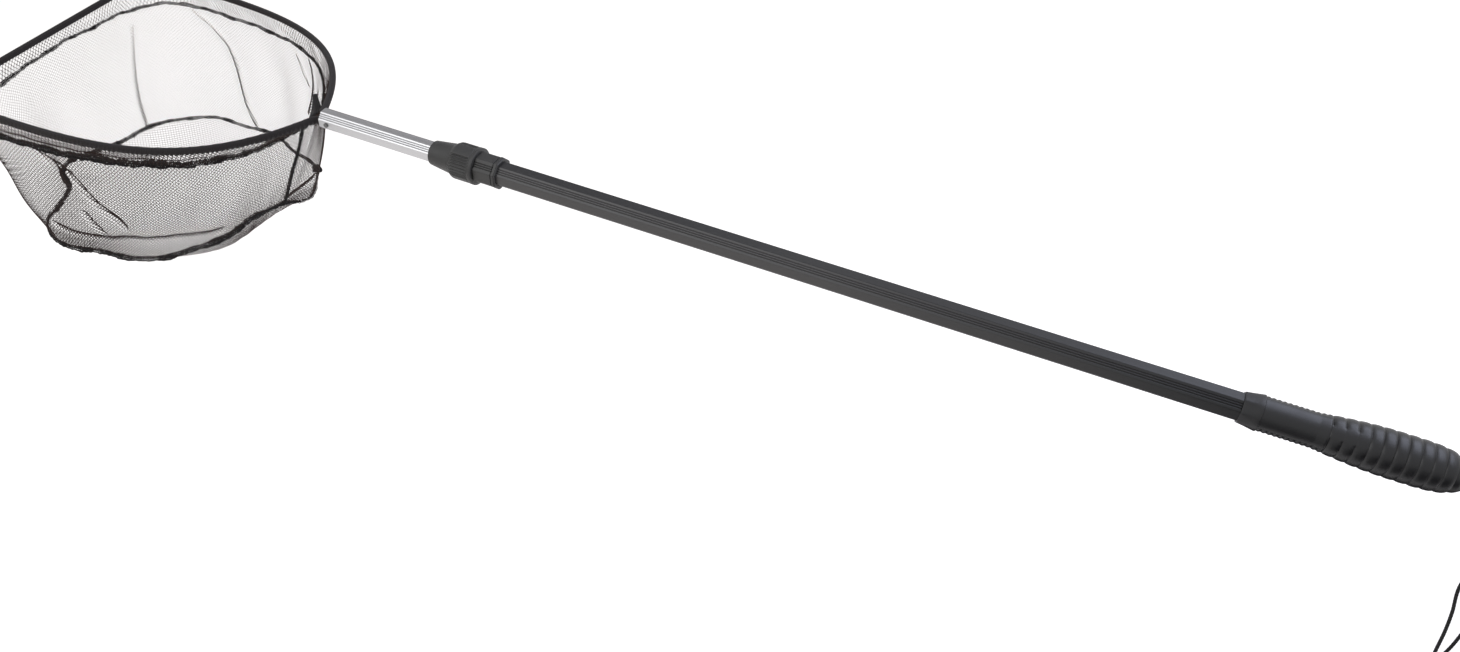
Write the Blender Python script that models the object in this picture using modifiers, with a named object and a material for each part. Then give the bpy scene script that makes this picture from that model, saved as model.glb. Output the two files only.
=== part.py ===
"""Telescopic fish scoop net: a wire hoop with a netting bag, on a sliding fluted pole with a twist lock.

The pole lies along X, with the net at -X and the grip's butt at +X, and +Z up out of the net's mouth.
The origin is the hand hold, on the pole's axis inside the grip. Lengths are in metres.
"""

import math

import bmesh
import bpy
import numpy as np

# Clearances, how far a cutter runs past what it cuts, and the distance at which points merge
GAP = 0.0003
SLIDE_GAP = 0.0004
OVERSHOOT = 0.002
WELD = 0.000005

# Pole tubes, eight-sided with three grooves in each diagonal face
OUTER_FLATS = 0.0232
OUTER_WALL = 0.0012
INNER_FLATS = 0.0200
INNER_WALL = 0.0011
EDGE_RADIUS = 0.0013
GROOVE_COUNT = 3
GROOVE_PITCH = 0.0021
GROOVE_WIDTH = 0.0009
GROOVE_DEPTH = 0.0004
SEAT_STEP = 0.0001
SEAT_SHOULDER = 0.0003

# Stations along the pole
GRIP_HOLD = 0.1030
OUTER_SHOWN = 0.6915
SLEEVE_SHOWN = 0.0245
NUT_LENGTH = 0.0520
INNER_SHOWN = 0.1290
RETRACT_TRAVEL = 0.0850

# Grip, from its front: flared collar, ribbed neck with smooth side panels, rings and a blunt round tip
COLLAR_FRONT_FLATS = 0.0262
COLLAR_DIAMETER = 0.0308
COLLAR_LENGTH = 0.0160
COLLAR_EDGE = 0.0007
COLLAR_SIDES = 48
NECK_RADIUS = 0.0146
NECK_RIB_HEIGHT = 0.0005
NECK_RIBS = 12
NECK_PANEL_WIDTH = 0.0262
NECK_PANEL_RISE = 0.0002
NECK_PANEL_TURN = math.radians(-45.0)
RISE_START = 0.0580
SWELL_RADIUS = 0.0190
SWELL_AT = 0.1110
RING_START = 0.0660
RING_PITCH = 0.0089
RING_COUNT = 11
RING_GROOVE = 0.0011
RING_LIP = 0.0011
TIP_LENGTH = 0.0086
TIP_OVERRUN = 0.0025
TIP_POWER = 3
TIP_STEPS = 4
END_WALL = 0.0143
END_PLUG_LENGTH = 0.0140
END_PLUG_FLANGE = 0.0020
TURN_STEPS = 24

# Wrist cord and its knot
CORD_DIAMETER = 0.0030
CORD_SPREAD = 0.0019
CORD_HOLE = 0.0078
CORD_STEP = 0.0070
KNOT_DIAMETER = 0.0110
KNOT_ROOM_DIAMETER = 0.0140

# Twist lock
NUT_NOSE_DIAMETER = 0.0246
NUT_SHOULDER_DIAMETER = 0.0306
NUT_BAND_DIAMETER = 0.0366
NUT_RIM_DIAMETER = 0.0370
NUT_NOSE_LENGTH = 0.0205
NUT_SHOULDER_LENGTH = 0.0060
NUT_RIM_LENGTH = 0.0045
NUT_EDGE = 0.0006
NUT_PANELS = 3
NUT_PANEL_RIBS = 8
NUT_LAND_RIBS = 4
NUT_RIB_DEPTH = 0.0008
NUT_MOUTH_CLEARANCE = 0.0005
NUT_MOUTH_LENGTH = 0.0140
COLLET_DIAMETER = 0.0250
COLLET_LENGTH = 0.0190
COLLET_CONE_LENGTH = 0.0100
COLLET_END_DIAMETER = 0.0236
COLLET_NOSE_LENGTH = 0.0020
COLLET_SLOTS = 4
COLLET_SLOT_WIDTH = 0.0016
COLLET_SLOT_LENGTH = 0.0130
SPIGOT_DIAMETER = 0.0276
SLEEVE_FLATS = 0.0292
SLEEVE_FLANGE_FLATS = 0.0300
SLEEVE_FLANGE_LENGTH = 0.0040

# Guide bush on the inner tube's hidden end
BUSH_FLANGE = 0.0080
BUSH_PLUG = 0.0220

# Hoop: wire, tails and outline
WIRE_DIAMETER = 0.0055
TAIL_SPREAD = 0.0044
TAIL_LENGTH = 0.0400
BEND_RADIUS = 0.0090
BEND_ANGLE = math.radians(68.0)
BEND_START = 0.0010
NET_LENGTH = 0.3570
NET_WIDTH = 0.2900
CORNER_RADIUS = 0.0620
SIDE_STRAIGHT = 0.0050
SHOULDER_REACH = 0.1250
SIDE_REACH = 0.1500
BEND_STEPS = 4
SHOULDER_STEPS = 11
CORNER_STEPS = 5
YOKE_PLUG_LENGTH = 0.0440
RIVET_AT = 0.0090
RIVET_DIAMETER = 0.0024
RIVET_HEAD_DIAMETER = 0.0048
RIVET_HEAD_HEIGHT = 0.0009

# Netting bag
SLEEVE_WALL = 0.0007
NET_THICKNESS = 0.0010
BAND_HEIGHT = 0.0180
TAPE_DIAMETER = 0.0036
WALL_HEIGHT = 0.1320
WALL_CELLS = 12
WALL_ROWS = 3
NET_BAR = 0.0040
REAR_TAPER = 0.0830
FRONT_TAPER = 0.0020
SIDE_TAPER = 0.0180
SEAM_DIAMETER = 0.0036
BOTTOM_SAG = 0.0140
BOTTOM_CELLS = 10
BOTTOM_ROWS = 2
BOTTOM_BAR_SHARE = 0.05
BOTTOM_HUB_SHARE = 0.85
WALL_SEAM_DIAMETER = 0.0024
WALL_SEAM_OFFSET = 0.0040

# Stations worked out from the sizes above, from the hand hold at zero towards the net
GRIP_FRONT = -GRIP_HOLD
RING_END = RING_START + RING_COUNT * RING_PITCH
GRIP_LENGTH = RING_END + TIP_LENGTH
KNOT_ROOM_END = GRIP_LENGTH - END_WALL
GRIP_BORE_END = KNOT_ROOM_END - KNOT_DIAMETER - 2 * GAP
TUBE_IN_GRIP = GRIP_BORE_END - END_PLUG_FLANGE - 2 * GAP
SLEEVE_REAR = GRIP_FRONT - OUTER_SHOWN
SLEEVE_SHOULDER = SLEEVE_REAR - SLEEVE_SHOWN
SLEEVE_SEAT = SLEEVE_SHOULDER + GAP
NUT_REAR = SLEEVE_SHOULDER - SLIDE_GAP
NUT_FRONT = NUT_REAR - NUT_LENGTH
MOUTH = NUT_FRONT - INNER_SHOWN
OUTER_REAR = GRIP_FRONT + TUBE_IN_GRIP
OUTER_FRONT = SLEEVE_SEAT + GAP
END_PLUG_FRONT = OUTER_REAR - END_PLUG_LENGTH
INNER_REAR = END_PLUG_FRONT - RETRACT_TRAVEL - BUSH_FLANGE - 2 * GAP
OUTER_BORE = OUTER_FLATS - 2 * OUTER_WALL
INNER_BORE = INNER_FLATS - 2 * INNER_WALL
SIDE_START = NET_LENGTH - CORNER_RADIUS - SIDE_STRAIGHT
OCTANT = math.cos(math.pi / 8)

# Heights of the bag's pieces under the rim's centreline
RIM_RADIUS = WIRE_DIAMETER / 2 + GAP + SLEEVE_WALL
BAND_TOP = -RIM_RADIUS - GAP
BAND_BOTTOM = BAND_TOP - BAND_HEIGHT
TAPE_Z = BAND_BOTTOM - GAP - TAPE_DIAMETER / 2
WALL_TOP = TAPE_Z - TAPE_DIAMETER / 2 - GAP
WALL_BOTTOM = WALL_TOP - WALL_HEIGHT
SEAM_Z = WALL_BOTTOM - GAP - SEAM_DIAMETER / 2


def start_scene():
    """An empty scene with one collection for the parts and one for the cutters."""
    for old in list(bpy.data.objects):
        bpy.data.objects.remove(old, do_unlink=True)
    made = []
    for name in ("fish_scoop_net", "cutters"):
        group = bpy.data.collections.new(name)
        bpy.context.scene.collection.children.link(group)
        made.append(group)
    return made


PARTS, CUTTERS = start_scene()


def finish(name, colour, roughness, metallic=0.0):
    """A plain material with the piece's colour and gloss."""
    material = bpy.data.materials.new(name)
    material.use_nodes = True
    shader = material.node_tree.nodes["Principled BSDF"]
    shader.inputs["Base Color"].default_value = (*colour, 1.0)
    shader.inputs["Roughness"].default_value = roughness
    shader.inputs["Metallic"].default_value = metallic
    return material


def frame_at(name, x):
    """An empty on the pole's axis that carries one moving group."""
    empty = bpy.data.objects.new(name, None)
    empty.location.x = x
    PARTS.objects.link(empty)
    return empty


def place(name, data, frame, material):
    piece = bpy.data.objects.new(name, data)
    piece.parent = frame
    if material:
        piece.data.materials.append(material)
    PARTS.objects.link(piece)
    return piece


def outline_curve(name, outlines, depth):
    """A flat filled outline, with any holes, extruded to a depth about its plane."""
    curve = bpy.data.curves.new(name, "CURVE")
    curve.dimensions = "2D"
    curve.fill_mode = "BOTH"
    curve.extrude = depth / 2
    for outline in outlines:
        spline = curve.splines.new("POLY")
        spline.points.add(len(outline) - 1)
        for point, (a, b) in zip(spline.points, outline):
            point.co = (a, b, 0, 1)
        spline.use_cyclic_u = True
    return curve


def prism(name, outlines, start, end, frame, material):
    """Outlines across the pole, as (y, z), carried along X from start to end."""
    piece = place(name, outline_curve(name, outlines, end - start), frame, material)
    piece.rotation_euler = (math.pi / 2, 0, math.pi / 2)
    piece.location.x = (start + end) / 2
    return piece


def wire(name, points, diameter, frame, material, closed=False, sides=8):
    """A round wire or cord along a list of points."""
    curve = bpy.data.curves.new(name, "CURVE")
    curve.dimensions = "3D"
    curve.twist_mode = "Z_UP"
    curve.bevel_depth = diameter / 2
    curve.bevel_resolution = sides // 2 - 2
    curve.use_fill_caps = not closed
    spline = curve.splines.new("POLY")
    spline.points.add(len(points) - 1)
    for point, place_at in zip(spline.points, points):
        point.co = (*place_at, 1)
    spline.use_cyclic_u = closed
    return place(name, curve, frame, material)


def turned(name, profile, frame, material, steps=TURN_STEPS):
    """Stations (x, radius) from the pole's axis back to it, turned about the axis."""
    mesh = bpy.data.meshes.new(name)
    points = [(x, radius, 0) for x, radius in profile]
    mesh.from_pydata(points, [(i, i + 1) for i in range(len(points) - 1)], [])
    piece = place(name, mesh, frame, material)
    screw = piece.modifiers.new("Turn", "SCREW")
    screw.axis = "X"
    screw.steps = steps
    screw.render_steps = steps
    screw.use_merge_vertices = True
    screw.merge_threshold = WELD
    screw.use_smooth_shade = True
    screw.use_normal_flip = True
    return piece


def cylinder(name, radius, start, end, axis, frame, material, sides=16):
    """A plain cylinder between two points on one axis, 'X', 'Y' or 'Z'."""
    mesh = bpy.data.meshes.new(name)
    form = bmesh.new()
    bmesh.ops.create_cone(
        form,
        cap_ends=True,
        segments=sides,
        radius1=radius,
        radius2=radius,
        depth=math.dist(start, end),
    )
    form.to_mesh(mesh)
    form.free()
    piece = place(name, mesh, frame, material)
    piece.location = [(a + b) / 2 for a, b in zip(start, end)]
    piece.rotation_euler = {"X": (0, math.pi / 2, 0), "Y": (math.pi / 2, 0, 0), "Z": (0, 0, 0)}[axis]
    return piece


def as_mesh(piece):
    """The same piece as a welded mesh object, so that it can be cut or joined."""
    bpy.context.view_layer.update()
    graph = bpy.context.evaluated_depsgraph_get()
    mesh = bpy.data.meshes.new_from_object(piece.evaluated_get(graph))
    form = bmesh.new()
    form.from_mesh(mesh)
    bmesh.ops.remove_doubles(form, verts=form.verts, dist=WELD)
    form.to_mesh(mesh)
    form.free()
    name = piece.name
    frame = piece.parent
    world = piece.matrix_world.copy()
    bpy.data.objects.remove(piece, do_unlink=True)
    solid = place(name, mesh, frame, None)
    solid.matrix_world = world
    return solid


def shape_by(piece, tool, operation):
    """Cuts piece by tool, or joins tool to it, and keeps tool as a hidden helper."""
    tool.hide_render = True
    tool.display_type = "WIRE"
    PARTS.objects.unlink(tool)
    CUTTERS.objects.link(tool)
    change = piece.modifiers.new(tool.name, "BOOLEAN")
    change.operation = operation
    change.object = tool
    change.solver = "EXACT"


def cut(piece, tool):
    shape_by(piece, tool, "DIFFERENCE")


def join(piece, tool):
    shape_by(piece, tool, "UNION")


def octagon(flats):
    """A plain eight-sided outline with flats square to Y and Z."""
    radius = flats / 2 / OCTANT
    turns = [math.pi / 8 + k * math.pi / 4 for k in range(8)]
    return [(radius * math.cos(a), radius * math.sin(a)) for a in turns]


def fluted_octagon(flats):
    """An eight-sided outline with broken edges and grooves in its four diagonal faces."""
    half_side = flats / 2 * math.tan(math.pi / 8)
    inset = EDGE_RADIUS * math.tan(math.pi / 8)
    outline = []
    for face in range(8):
        turn = face * math.pi / 4
        run = [(-half_side + inset, 0.0)]
        for k in range(GROOVE_COUNT if face % 2 else 0):
            middle = (k - (GROOVE_COUNT - 1) / 2) * GROOVE_PITCH
            run += [(middle - GROOVE_WIDTH / 2, 0.0), (middle, -GROOVE_DEPTH)]
            run.append((middle + GROOVE_WIDTH / 2, 0.0))
        run.append((half_side - inset, 0.0))
        for along, out in run:
            radius = flats / 2 + out
            outline.append(
                (
                    radius * math.cos(turn) - along * math.sin(turn),
                    radius * math.sin(turn) + along * math.cos(turn),
                )
            )
    return outline


def swell_radius(x):
    """The grip's envelope: a quarter sine from the neck up to the swell, then a blunt round end."""
    if x < SWELL_AT:
        rise = max((x - RISE_START) / (SWELL_AT - RISE_START), 0.0)
        return NECK_RADIUS + (SWELL_RADIUS - NECK_RADIUS) * math.sin(rise * math.pi / 2)
    fall = (x - SWELL_AT) / (GRIP_LENGTH + TIP_OVERRUN - SWELL_AT)
    return SWELL_RADIUS * math.sqrt(1 - fall**TIP_POWER)


def grip_profile():
    """Stations (x, radius) of the grip from its front: ribbed neck, rings and a rounded tip."""
    neck_start = COLLAR_LENGTH / 2
    profile = [(neck_start, 0.0), (neck_start, NECK_RADIUS - NECK_RIB_HEIGHT)]
    rib = (RING_START - COLLAR_LENGTH) / NECK_RIBS
    for k in range(NECK_RIBS):
        top = COLLAR_LENGTH + (k + 0.5) * rib
        foot = COLLAR_LENGTH + (k + 1) * rib
        profile.append((top, swell_radius(top)))
        profile.append((foot, swell_radius(foot) - NECK_RIB_HEIGHT))
    profile.pop()
    for k in range(RING_COUNT):
        x = RING_START + k * RING_PITCH
        lip = x + RING_LIP
        heel = x + RING_PITCH - RING_LIP
        profile.append((x, swell_radius(x) - RING_GROOVE))
        profile.append((lip, swell_radius(lip)))
        profile.append((heel, swell_radius(heel)))
    profile.append((RING_END, swell_radius(RING_END) - RING_GROOVE))
    round_start = RING_END + RING_LIP
    for k in range(TIP_STEPS + 1):
        x = round_start + (GRIP_LENGTH - round_start) * math.sin(k / TIP_STEPS * math.pi / 2)
        profile.append((x, swell_radius(x)))
    profile.append((GRIP_LENGTH, 0.0))
    return profile


def neck_panel(frame):
    """The smooth panels on the neck's two sides, between its ribbed top and bottom."""
    start = COLLAR_LENGTH / 2
    end = RING_START
    front = NECK_RADIUS + NECK_PANEL_RISE
    back = swell_radius(end) + NECK_PANEL_RISE
    profile = [(start, 0), (start, front), (RISE_START, front), (end, back), (end, 0)]
    panel = turned("neck_panel", profile, frame, None)
    half = NECK_PANEL_WIDTH / 2
    reach = 2 * back
    block = [(-reach, -half), (reach, -half), (reach, half), (-reach, half)]
    slab = as_mesh(prism("neck_slab", [block], start - OVERSHOOT, end + OVERSHOOT, frame, None))
    slab.rotation_euler.rotate_axis("Z", NECK_PANEL_TURN)
    shape_by(panel, slab, "INTERSECT")
    return panel


def grip_collar(frame):
    """The flared collar: eight-sided where it takes the tube, and round where it meets the neck."""
    turn = 2 * np.pi * np.arange(COLLAR_SIDES) / COLLAR_SIDES
    face = (turn + np.pi / 8) % (np.pi / 4) - np.pi / 8
    octagonal = COLLAR_FRONT_FLATS / 2 / np.cos(face)
    rings = [
        ring_at(0.0, octagonal - COLLAR_EDGE, turn),
        ring_at(COLLAR_EDGE, octagonal, turn),
        ring_at(COLLAR_LENGTH - COLLAR_EDGE, COLLAR_DIAMETER / 2, turn),
        ring_at(COLLAR_LENGTH, COLLAR_DIAMETER / 2 - COLLAR_EDGE, turn),
    ]
    return loft("grip_collar", rings, frame, None)


def make_grip(frame):
    """The grip: a turned body joined to its collar and panels, bored for the tube, knot and cord."""
    black = finish("grip_plastic", (0.022, 0.022, 0.024), 0.45)
    grip = turned("grip", grip_profile(), frame, black)
    join(grip, grip_collar(frame))
    join(grip, neck_panel(frame))
    bore = [octagon(OUTER_FLATS + 2 * GAP)]
    cut(grip, as_mesh(prism("grip_bore", bore, -OVERSHOOT, GRIP_BORE_END, frame, None)))
    room = ((GRIP_BORE_END - OVERSHOOT, 0, 0), (KNOT_ROOM_END, 0, 0), "X", frame, None)
    cut(grip, cylinder("knot_room", KNOT_ROOM_DIAMETER / 2, *room))
    hole = ((KNOT_ROOM_END - OVERSHOOT, 0, 0), (GRIP_LENGTH + OVERSHOOT, 0, 0), "X", frame, None)
    cut(grip, cylinder("cord_hole", CORD_HOLE / 2, *hole, sides=12))


def smooth_route(points, step):
    """Points about one step apart on the Catmull-Rom curve through the given points."""
    ends = np.vstack([2 * points[0] - points[1], points, 2 * points[-1] - points[-2]])
    found = []
    for a, b, c, d in zip(ends, ends[1:], ends[2:], ends[3:]):
        count = max(1, round(float(np.linalg.norm(c - b)) / step))
        t = np.arange(count)[:, None] / count
        curve = 2 * b + (c - a) * t + (2 * a - 5 * b + 4 * c - d) * t**2
        found.append((curve + (3 * b - a - 3 * c + d) * t**3) / 2)
    return np.vstack([*found, points[-1:]])


def cord_route(inside):
    """The wrist loop's route from inside the grip's tip, out, down and back, from the tip's centre."""
    out = -CORD_SPREAD
    loop = [(inside, out, 0), (0, out, 0), (0.018, -0.003, -0.001), (0.0325, -0.005, -0.009)]
    loop += [(0.0395, -0.007, -0.028), (0.0405, -0.008, -0.066), (0.0411, -0.008, -0.108)]
    loop += [(0.0495, -0.008, -0.142), (0.055, -0.008, -0.169), (0.0598, -0.007, -0.198)]
    loop += [(0.067, 0.0, -0.224), (0.0737, 0.007, -0.210), (0.0745, 0.008, -0.184)]
    loop += [(0.0715, 0.008, -0.120), (0.0615, 0.007, -0.060), (0.0495, 0.005, -0.022)]
    loop += [(0.0345, 0.003, -0.005), (0.018, 0.002, 0), (0, -out, 0), (inside, -out, 0)]
    return smooth_route(np.array(loop), CORD_STEP)


def make_cord(frame):
    """The wrist cord, and the knot that holds it against the inside of the grip's end wall."""
    cord_black = finish("wrist_cord", (0.02, 0.02, 0.02), 0.8)
    knot_end = KNOT_ROOM_END - GAP
    mesh = bpy.data.meshes.new("cord_knot")
    form = bmesh.new()
    bmesh.ops.create_uvsphere(form, u_segments=12, v_segments=8, radius=KNOT_DIAMETER / 2)
    form.to_mesh(mesh)
    form.free()
    knot = place("cord_knot", mesh, frame, cord_black)
    knot.location.x = knot_end - KNOT_DIAMETER / 2
    knot.data.shade_smooth()
    route = cord_route(knot_end + GAP - GRIP_LENGTH)
    cord = wire("wrist_cord", route, CORD_DIAMETER, frame, cord_black)
    cord.data.twist_mode = "MINIMUM"
    cord.location.x = GRIP_LENGTH


def draw_in_ends(tube, stations):
    """Draws a tube's outside in by a hair past each station (x, way), where a piece takes its end."""
    form = bmesh.new()
    form.from_mesh(tube.data)
    share = 1 - SEAT_STEP / (OUTER_FLATS / 2)
    skin = OUTER_BORE / 2 / OCTANT + SEAT_STEP
    for x, way in stations:
        middle = x - tube.location.x
        foot = middle + way * SEAT_SHOULDER
        for z in (middle, foot):
            everything = [*form.verts, *form.edges, *form.faces]
            bmesh.ops.bisect_plane(form, geom=everything, plane_co=(0, 0, z), plane_no=(0, 0, 1))
        for point in form.verts:
            past = way * (point.co.z - foot) > -WELD
            if past and math.hypot(point.co.x, point.co.y) > skin:
                point.co.x *= share
                point.co.y *= share
    form.to_mesh(tube.data)
    form.free()


def make_outer_tube(frame):
    """The black tube, and the plug that closes its rear end inside the grip."""
    black = finish("outer_tube", (0.035, 0.036, 0.04), 0.4, 0.6)
    outlines = [fluted_octagon(OUTER_FLATS), octagon(OUTER_BORE)]
    tube = as_mesh(prism("outer_tube", outlines, OUTER_FRONT, OUTER_REAR, frame, black))
    draw_in_ends(tube, [(SLEEVE_REAR + GAP, -1), (GRIP_FRONT - GAP, 1)])
    grey = finish("tube_end_plug", (0.05, 0.05, 0.05), 0.6)
    body = [octagon(OUTER_BORE - 2 * GAP)]
    plug = as_mesh(prism("tube_end_plug", body, END_PLUG_FRONT, OUTER_REAR + OVERSHOOT / 2, frame, grey))
    flange_start = OUTER_REAR + GAP
    flange = [octagon(OUTER_FLATS - 2 * GAP)]
    flange_end = flange_start + END_PLUG_FLANGE
    join(plug, as_mesh(prism("plug_flange", flange, flange_start, flange_end, frame, None)))


def make_lock_sleeve(frame):
    """The socket on the outer tube, its spigot, the collet's conical seat and the guide bore."""
    grey = finish("lock_sleeve", (0.05, 0.05, 0.05), 0.5)
    seat_mouth = NUT_FRONT + NUT_MOUTH_LENGTH + COLLET_LENGTH - COLLET_CONE_LENGTH
    radius = SPIGOT_DIAMETER / 2
    spigot_end = SLEEVE_SHOULDER + OVERSHOOT
    profile = [(seat_mouth, 0), (seat_mouth, radius), (spigot_end, radius), (spigot_end, 0)]
    sleeve = turned("lock_sleeve", profile, frame, grey)
    body = [fluted_octagon(SLEEVE_FLATS)]
    join(sleeve, as_mesh(prism("sleeve_socket", body, SLEEVE_SHOULDER, SLEEVE_REAR, frame, None)))
    flange = [octagon(SLEEVE_FLANGE_FLATS)]
    flange_start = SLEEVE_REAR - SLEEVE_FLANGE_LENGTH
    join(sleeve, as_mesh(prism("sleeve_flange", flange, flange_start, SLEEVE_REAR, frame, None)))
    slope = (COLLET_DIAMETER - COLLET_END_DIAMETER) / 2 / COLLET_CONE_LENGTH
    mouth_radius = COLLET_DIAMETER / 2 + SLIDE_GAP + slope * OVERSHOOT
    seat_end = seat_mouth + COLLET_CONE_LENGTH + SLIDE_GAP
    end_radius = COLLET_END_DIAMETER / 2 + SLIDE_GAP * (1 - slope)
    mouth = seat_mouth - OVERSHOOT
    seat = [(mouth, 0), (mouth, mouth_radius), (seat_end, end_radius), (seat_end, 0)]
    cut(sleeve, turned("collet_seat", seat, frame, None))
    guide = [octagon(INNER_FLATS + 2 * SLIDE_GAP)]
    cut(sleeve, as_mesh(prism("sleeve_guide", guide, seat_mouth, SLEEVE_REAR, frame, None)))
    hold = [octagon(OUTER_FLATS + 2 * GAP)]
    cut(sleeve, as_mesh(prism("sleeve_hold", hold, SLEEVE_SEAT, SLEEVE_REAR + OVERSHOOT, frame, None)))


def make_collet(frame):
    """The split ring: a nose, a straight stretch and a cone, bored to the inner tube and slotted."""
    grey = finish("lock_collet", (0.5, 0.5, 0.48), 0.5)
    start = NUT_MOUTH_LENGTH
    end = start + COLLET_LENGTH
    cone = end - COLLET_CONE_LENGTH
    nose = COLLET_DIAMETER / 2 - COLLET_NOSE_LENGTH / 2
    profile = [(start, 0), (start, nose), (start + COLLET_NOSE_LENGTH, COLLET_DIAMETER / 2)]
    profile += [(cone, COLLET_DIAMETER / 2), (end, COLLET_END_DIAMETER / 2), (end, 0)]
    collet = turned("lock_collet", profile, frame, grey)
    bore = [octagon(INNER_FLATS + 2 * GAP)]
    cut(collet, as_mesh(prism("collet_bore", bore, start - OVERSHOOT, end + OVERSHOOT, frame, None)))
    half = COLLET_SLOT_WIDTH / 2
    reach = COLLET_DIAMETER
    slit = [(-half, -reach), (half, -reach), (half, reach), (-half, reach)]
    for k in range(COLLET_SLOTS // 2):
        name = f"collet_slot_{k + 1}"
        slot_start = end - COLLET_SLOT_LENGTH
        slot = as_mesh(prism(name, [slit], slot_start, end + OVERSHOOT, frame, None))
        slot.rotation_euler.rotate_axis("Z", 2 * math.pi * k / COLLET_SLOTS)
        cut(collet, slot)


def nut_sections():
    """Rings (x, radius, rib depth) round the nut: its outside from front to rear, then its bore."""
    nose = NUT_NOSE_DIAMETER / 2
    shoulder = NUT_SHOULDER_DIAMETER / 2
    band = NUT_BAND_DIAMETER / 2
    rim = NUT_RIM_DIAMETER / 2
    band_start = NUT_NOSE_LENGTH + NUT_SHOULDER_LENGTH
    rim_start = NUT_LENGTH - NUT_RIM_LENGTH
    mouth = INNER_FLATS / 2 / OCTANT + NUT_MOUTH_CLEARANCE
    bore = SPIGOT_DIAMETER / 2 + SLIDE_GAP
    seat = COLLET_DIAMETER / 2 + SLIDE_GAP
    chamfer = COLLET_NOSE_LENGTH
    seat_end = NUT_MOUTH_LENGTH + COLLET_LENGTH - COLLET_CONE_LENGTH - 2 * GAP
    seat_start = NUT_MOUTH_LENGTH - GAP
    outside = [
        (0.0, nose - NUT_EDGE, 0),
        (NUT_EDGE, nose, 0),
        (NUT_NOSE_LENGTH, shoulder, 0),
        (NUT_NOSE_LENGTH + NUT_EDGE, shoulder + NUT_EDGE / 2, NUT_RIB_DEPTH),
        (band_start, band, NUT_RIB_DEPTH),
        (rim_start, band, NUT_RIB_DEPTH),
        (rim_start + NUT_EDGE, rim, 0),
        (NUT_LENGTH - NUT_EDGE, rim, 0),
        (NUT_LENGTH, rim - NUT_EDGE, 0),
    ]
    inside = [
        (NUT_LENGTH, bore, 0),
        (seat_end, bore, 0),
        (seat_end, seat, 0),
        (seat_start + chamfer, seat, 0),
        (seat_start, max(mouth, seat - chamfer / 2), 0),
        (seat_start, mouth, 0),
        (0.0, mouth, 0),
    ]
    return [*outside, *inside]


def make_nut(frame):
    """The nut, lofted from its conical nose through the band, ribbed in panels, and back along its bore."""
    grey = finish("lock_nut", (0.055, 0.057, 0.055), 0.5)
    panel = 2 * (NUT_PANEL_RIBS + NUT_LAND_RIBS)
    step = np.arange(NUT_PANELS * panel)
    turn = 2 * np.pi * step / len(step)
    valley = (step % 2 == 1) & (step % panel < 2 * NUT_PANEL_RIBS)
    rings = [ring_at(x, radius - depth * valley, turn) for x, radius, depth in nut_sections()]
    loft("lock_nut", rings, frame, grey, wrap=True)


def ring_at(x, radius, turn):
    """Points round the pole at one station; the radius may change from point to point."""
    return np.column_stack([np.full(len(turn), x), radius * np.cos(turn), radius * np.sin(turn)])


def loft(name, rings, frame, material, wrap=False):
    """Rings of equal point count joined by quads, capped at both ends or run round to the first."""
    sides = len(rings[0])
    faces = loft_faces(len(rings), sides, wrap)
    if not wrap:
        last = (len(rings) - 1) * sides
        faces += [tuple(range(sides))[::-1], tuple(range(last, last + sides))]
    mesh = bpy.data.meshes.new(name)
    mesh.from_pydata(np.vstack(rings).tolist(), [], faces)
    return place(name, mesh, frame, material)


def loft_faces(rings, sides, wrap=False):
    """Quads between neighbouring rings of equal point count, and from the last to the first."""
    faces = []
    for k in range(rings if wrap else rings - 1):
        low = k * sides
        high = (k + 1) % rings * sides
        for j in range(sides):
            after = (j + 1) % sides
            faces.append((low + j, low + after, high + after, high + j))
    return faces


def bezier(a, b, c, d, steps):
    t = np.linspace(0, 1, steps + 1)[:, None]
    return a * (1 - t) ** 3 + 3 * b * t * (1 - t) ** 2 + 3 * c * t**2 * (1 - t) + d * t**3


def arc(centre, radius, first, last, steps):
    turn = np.linspace(first, last, steps + 1)
    return np.array(centre) + radius * np.stack([np.cos(turn), np.sin(turn)], axis=1)


def half_rim():
    """The far half of the hoop's centreline (x, y) from the bend to the front edge's straight."""
    bend_end = np.array(
        [
            -BEND_START - BEND_RADIUS * math.sin(BEND_ANGLE),
            TAIL_SPREAD + BEND_RADIUS * (1 - math.cos(BEND_ANGLE)),
        ]
    )
    leaving = np.array([-math.cos(BEND_ANGLE), math.sin(BEND_ANGLE)])
    side = np.array([-SIDE_START, NET_WIDTH / 2])
    shoulder = bezier(
        bend_end,
        bend_end + SHOULDER_REACH * leaving,
        side + np.array([SIDE_REACH, 0]),
        side,
        SHOULDER_STEPS,
    )
    centre = (-NET_LENGTH + CORNER_RADIUS, NET_WIDTH / 2 - CORNER_RADIUS)
    corner = arc(centre, CORNER_RADIUS, math.pi / 2, math.pi, CORNER_STEPS)
    return np.vstack([shoulder, corner])


def mirrored(half):
    """A half outline at +Y and its mirror image, run on to the other end."""
    return np.vstack([half, half[::-1] * [1, -1]])


def at_height(outline, z):
    return np.column_stack([outline, np.full(len(outline), z)])


def offset(outline, distance):
    """A closed outline moved outwards by a distance, square to the chord of each point's neighbours."""
    after = np.roll(outline, -1, axis=0)
    along = after - np.roll(outline, 1, axis=0)
    along /= np.linalg.norm(along, axis=1, keepdims=True)
    area = np.sum(outline[:, 0] * after[:, 1] - outline[:, 1] * after[:, 0])
    return outline + distance * np.sign(area) * np.column_stack([along[:, 1], -along[:, 0]])


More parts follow.
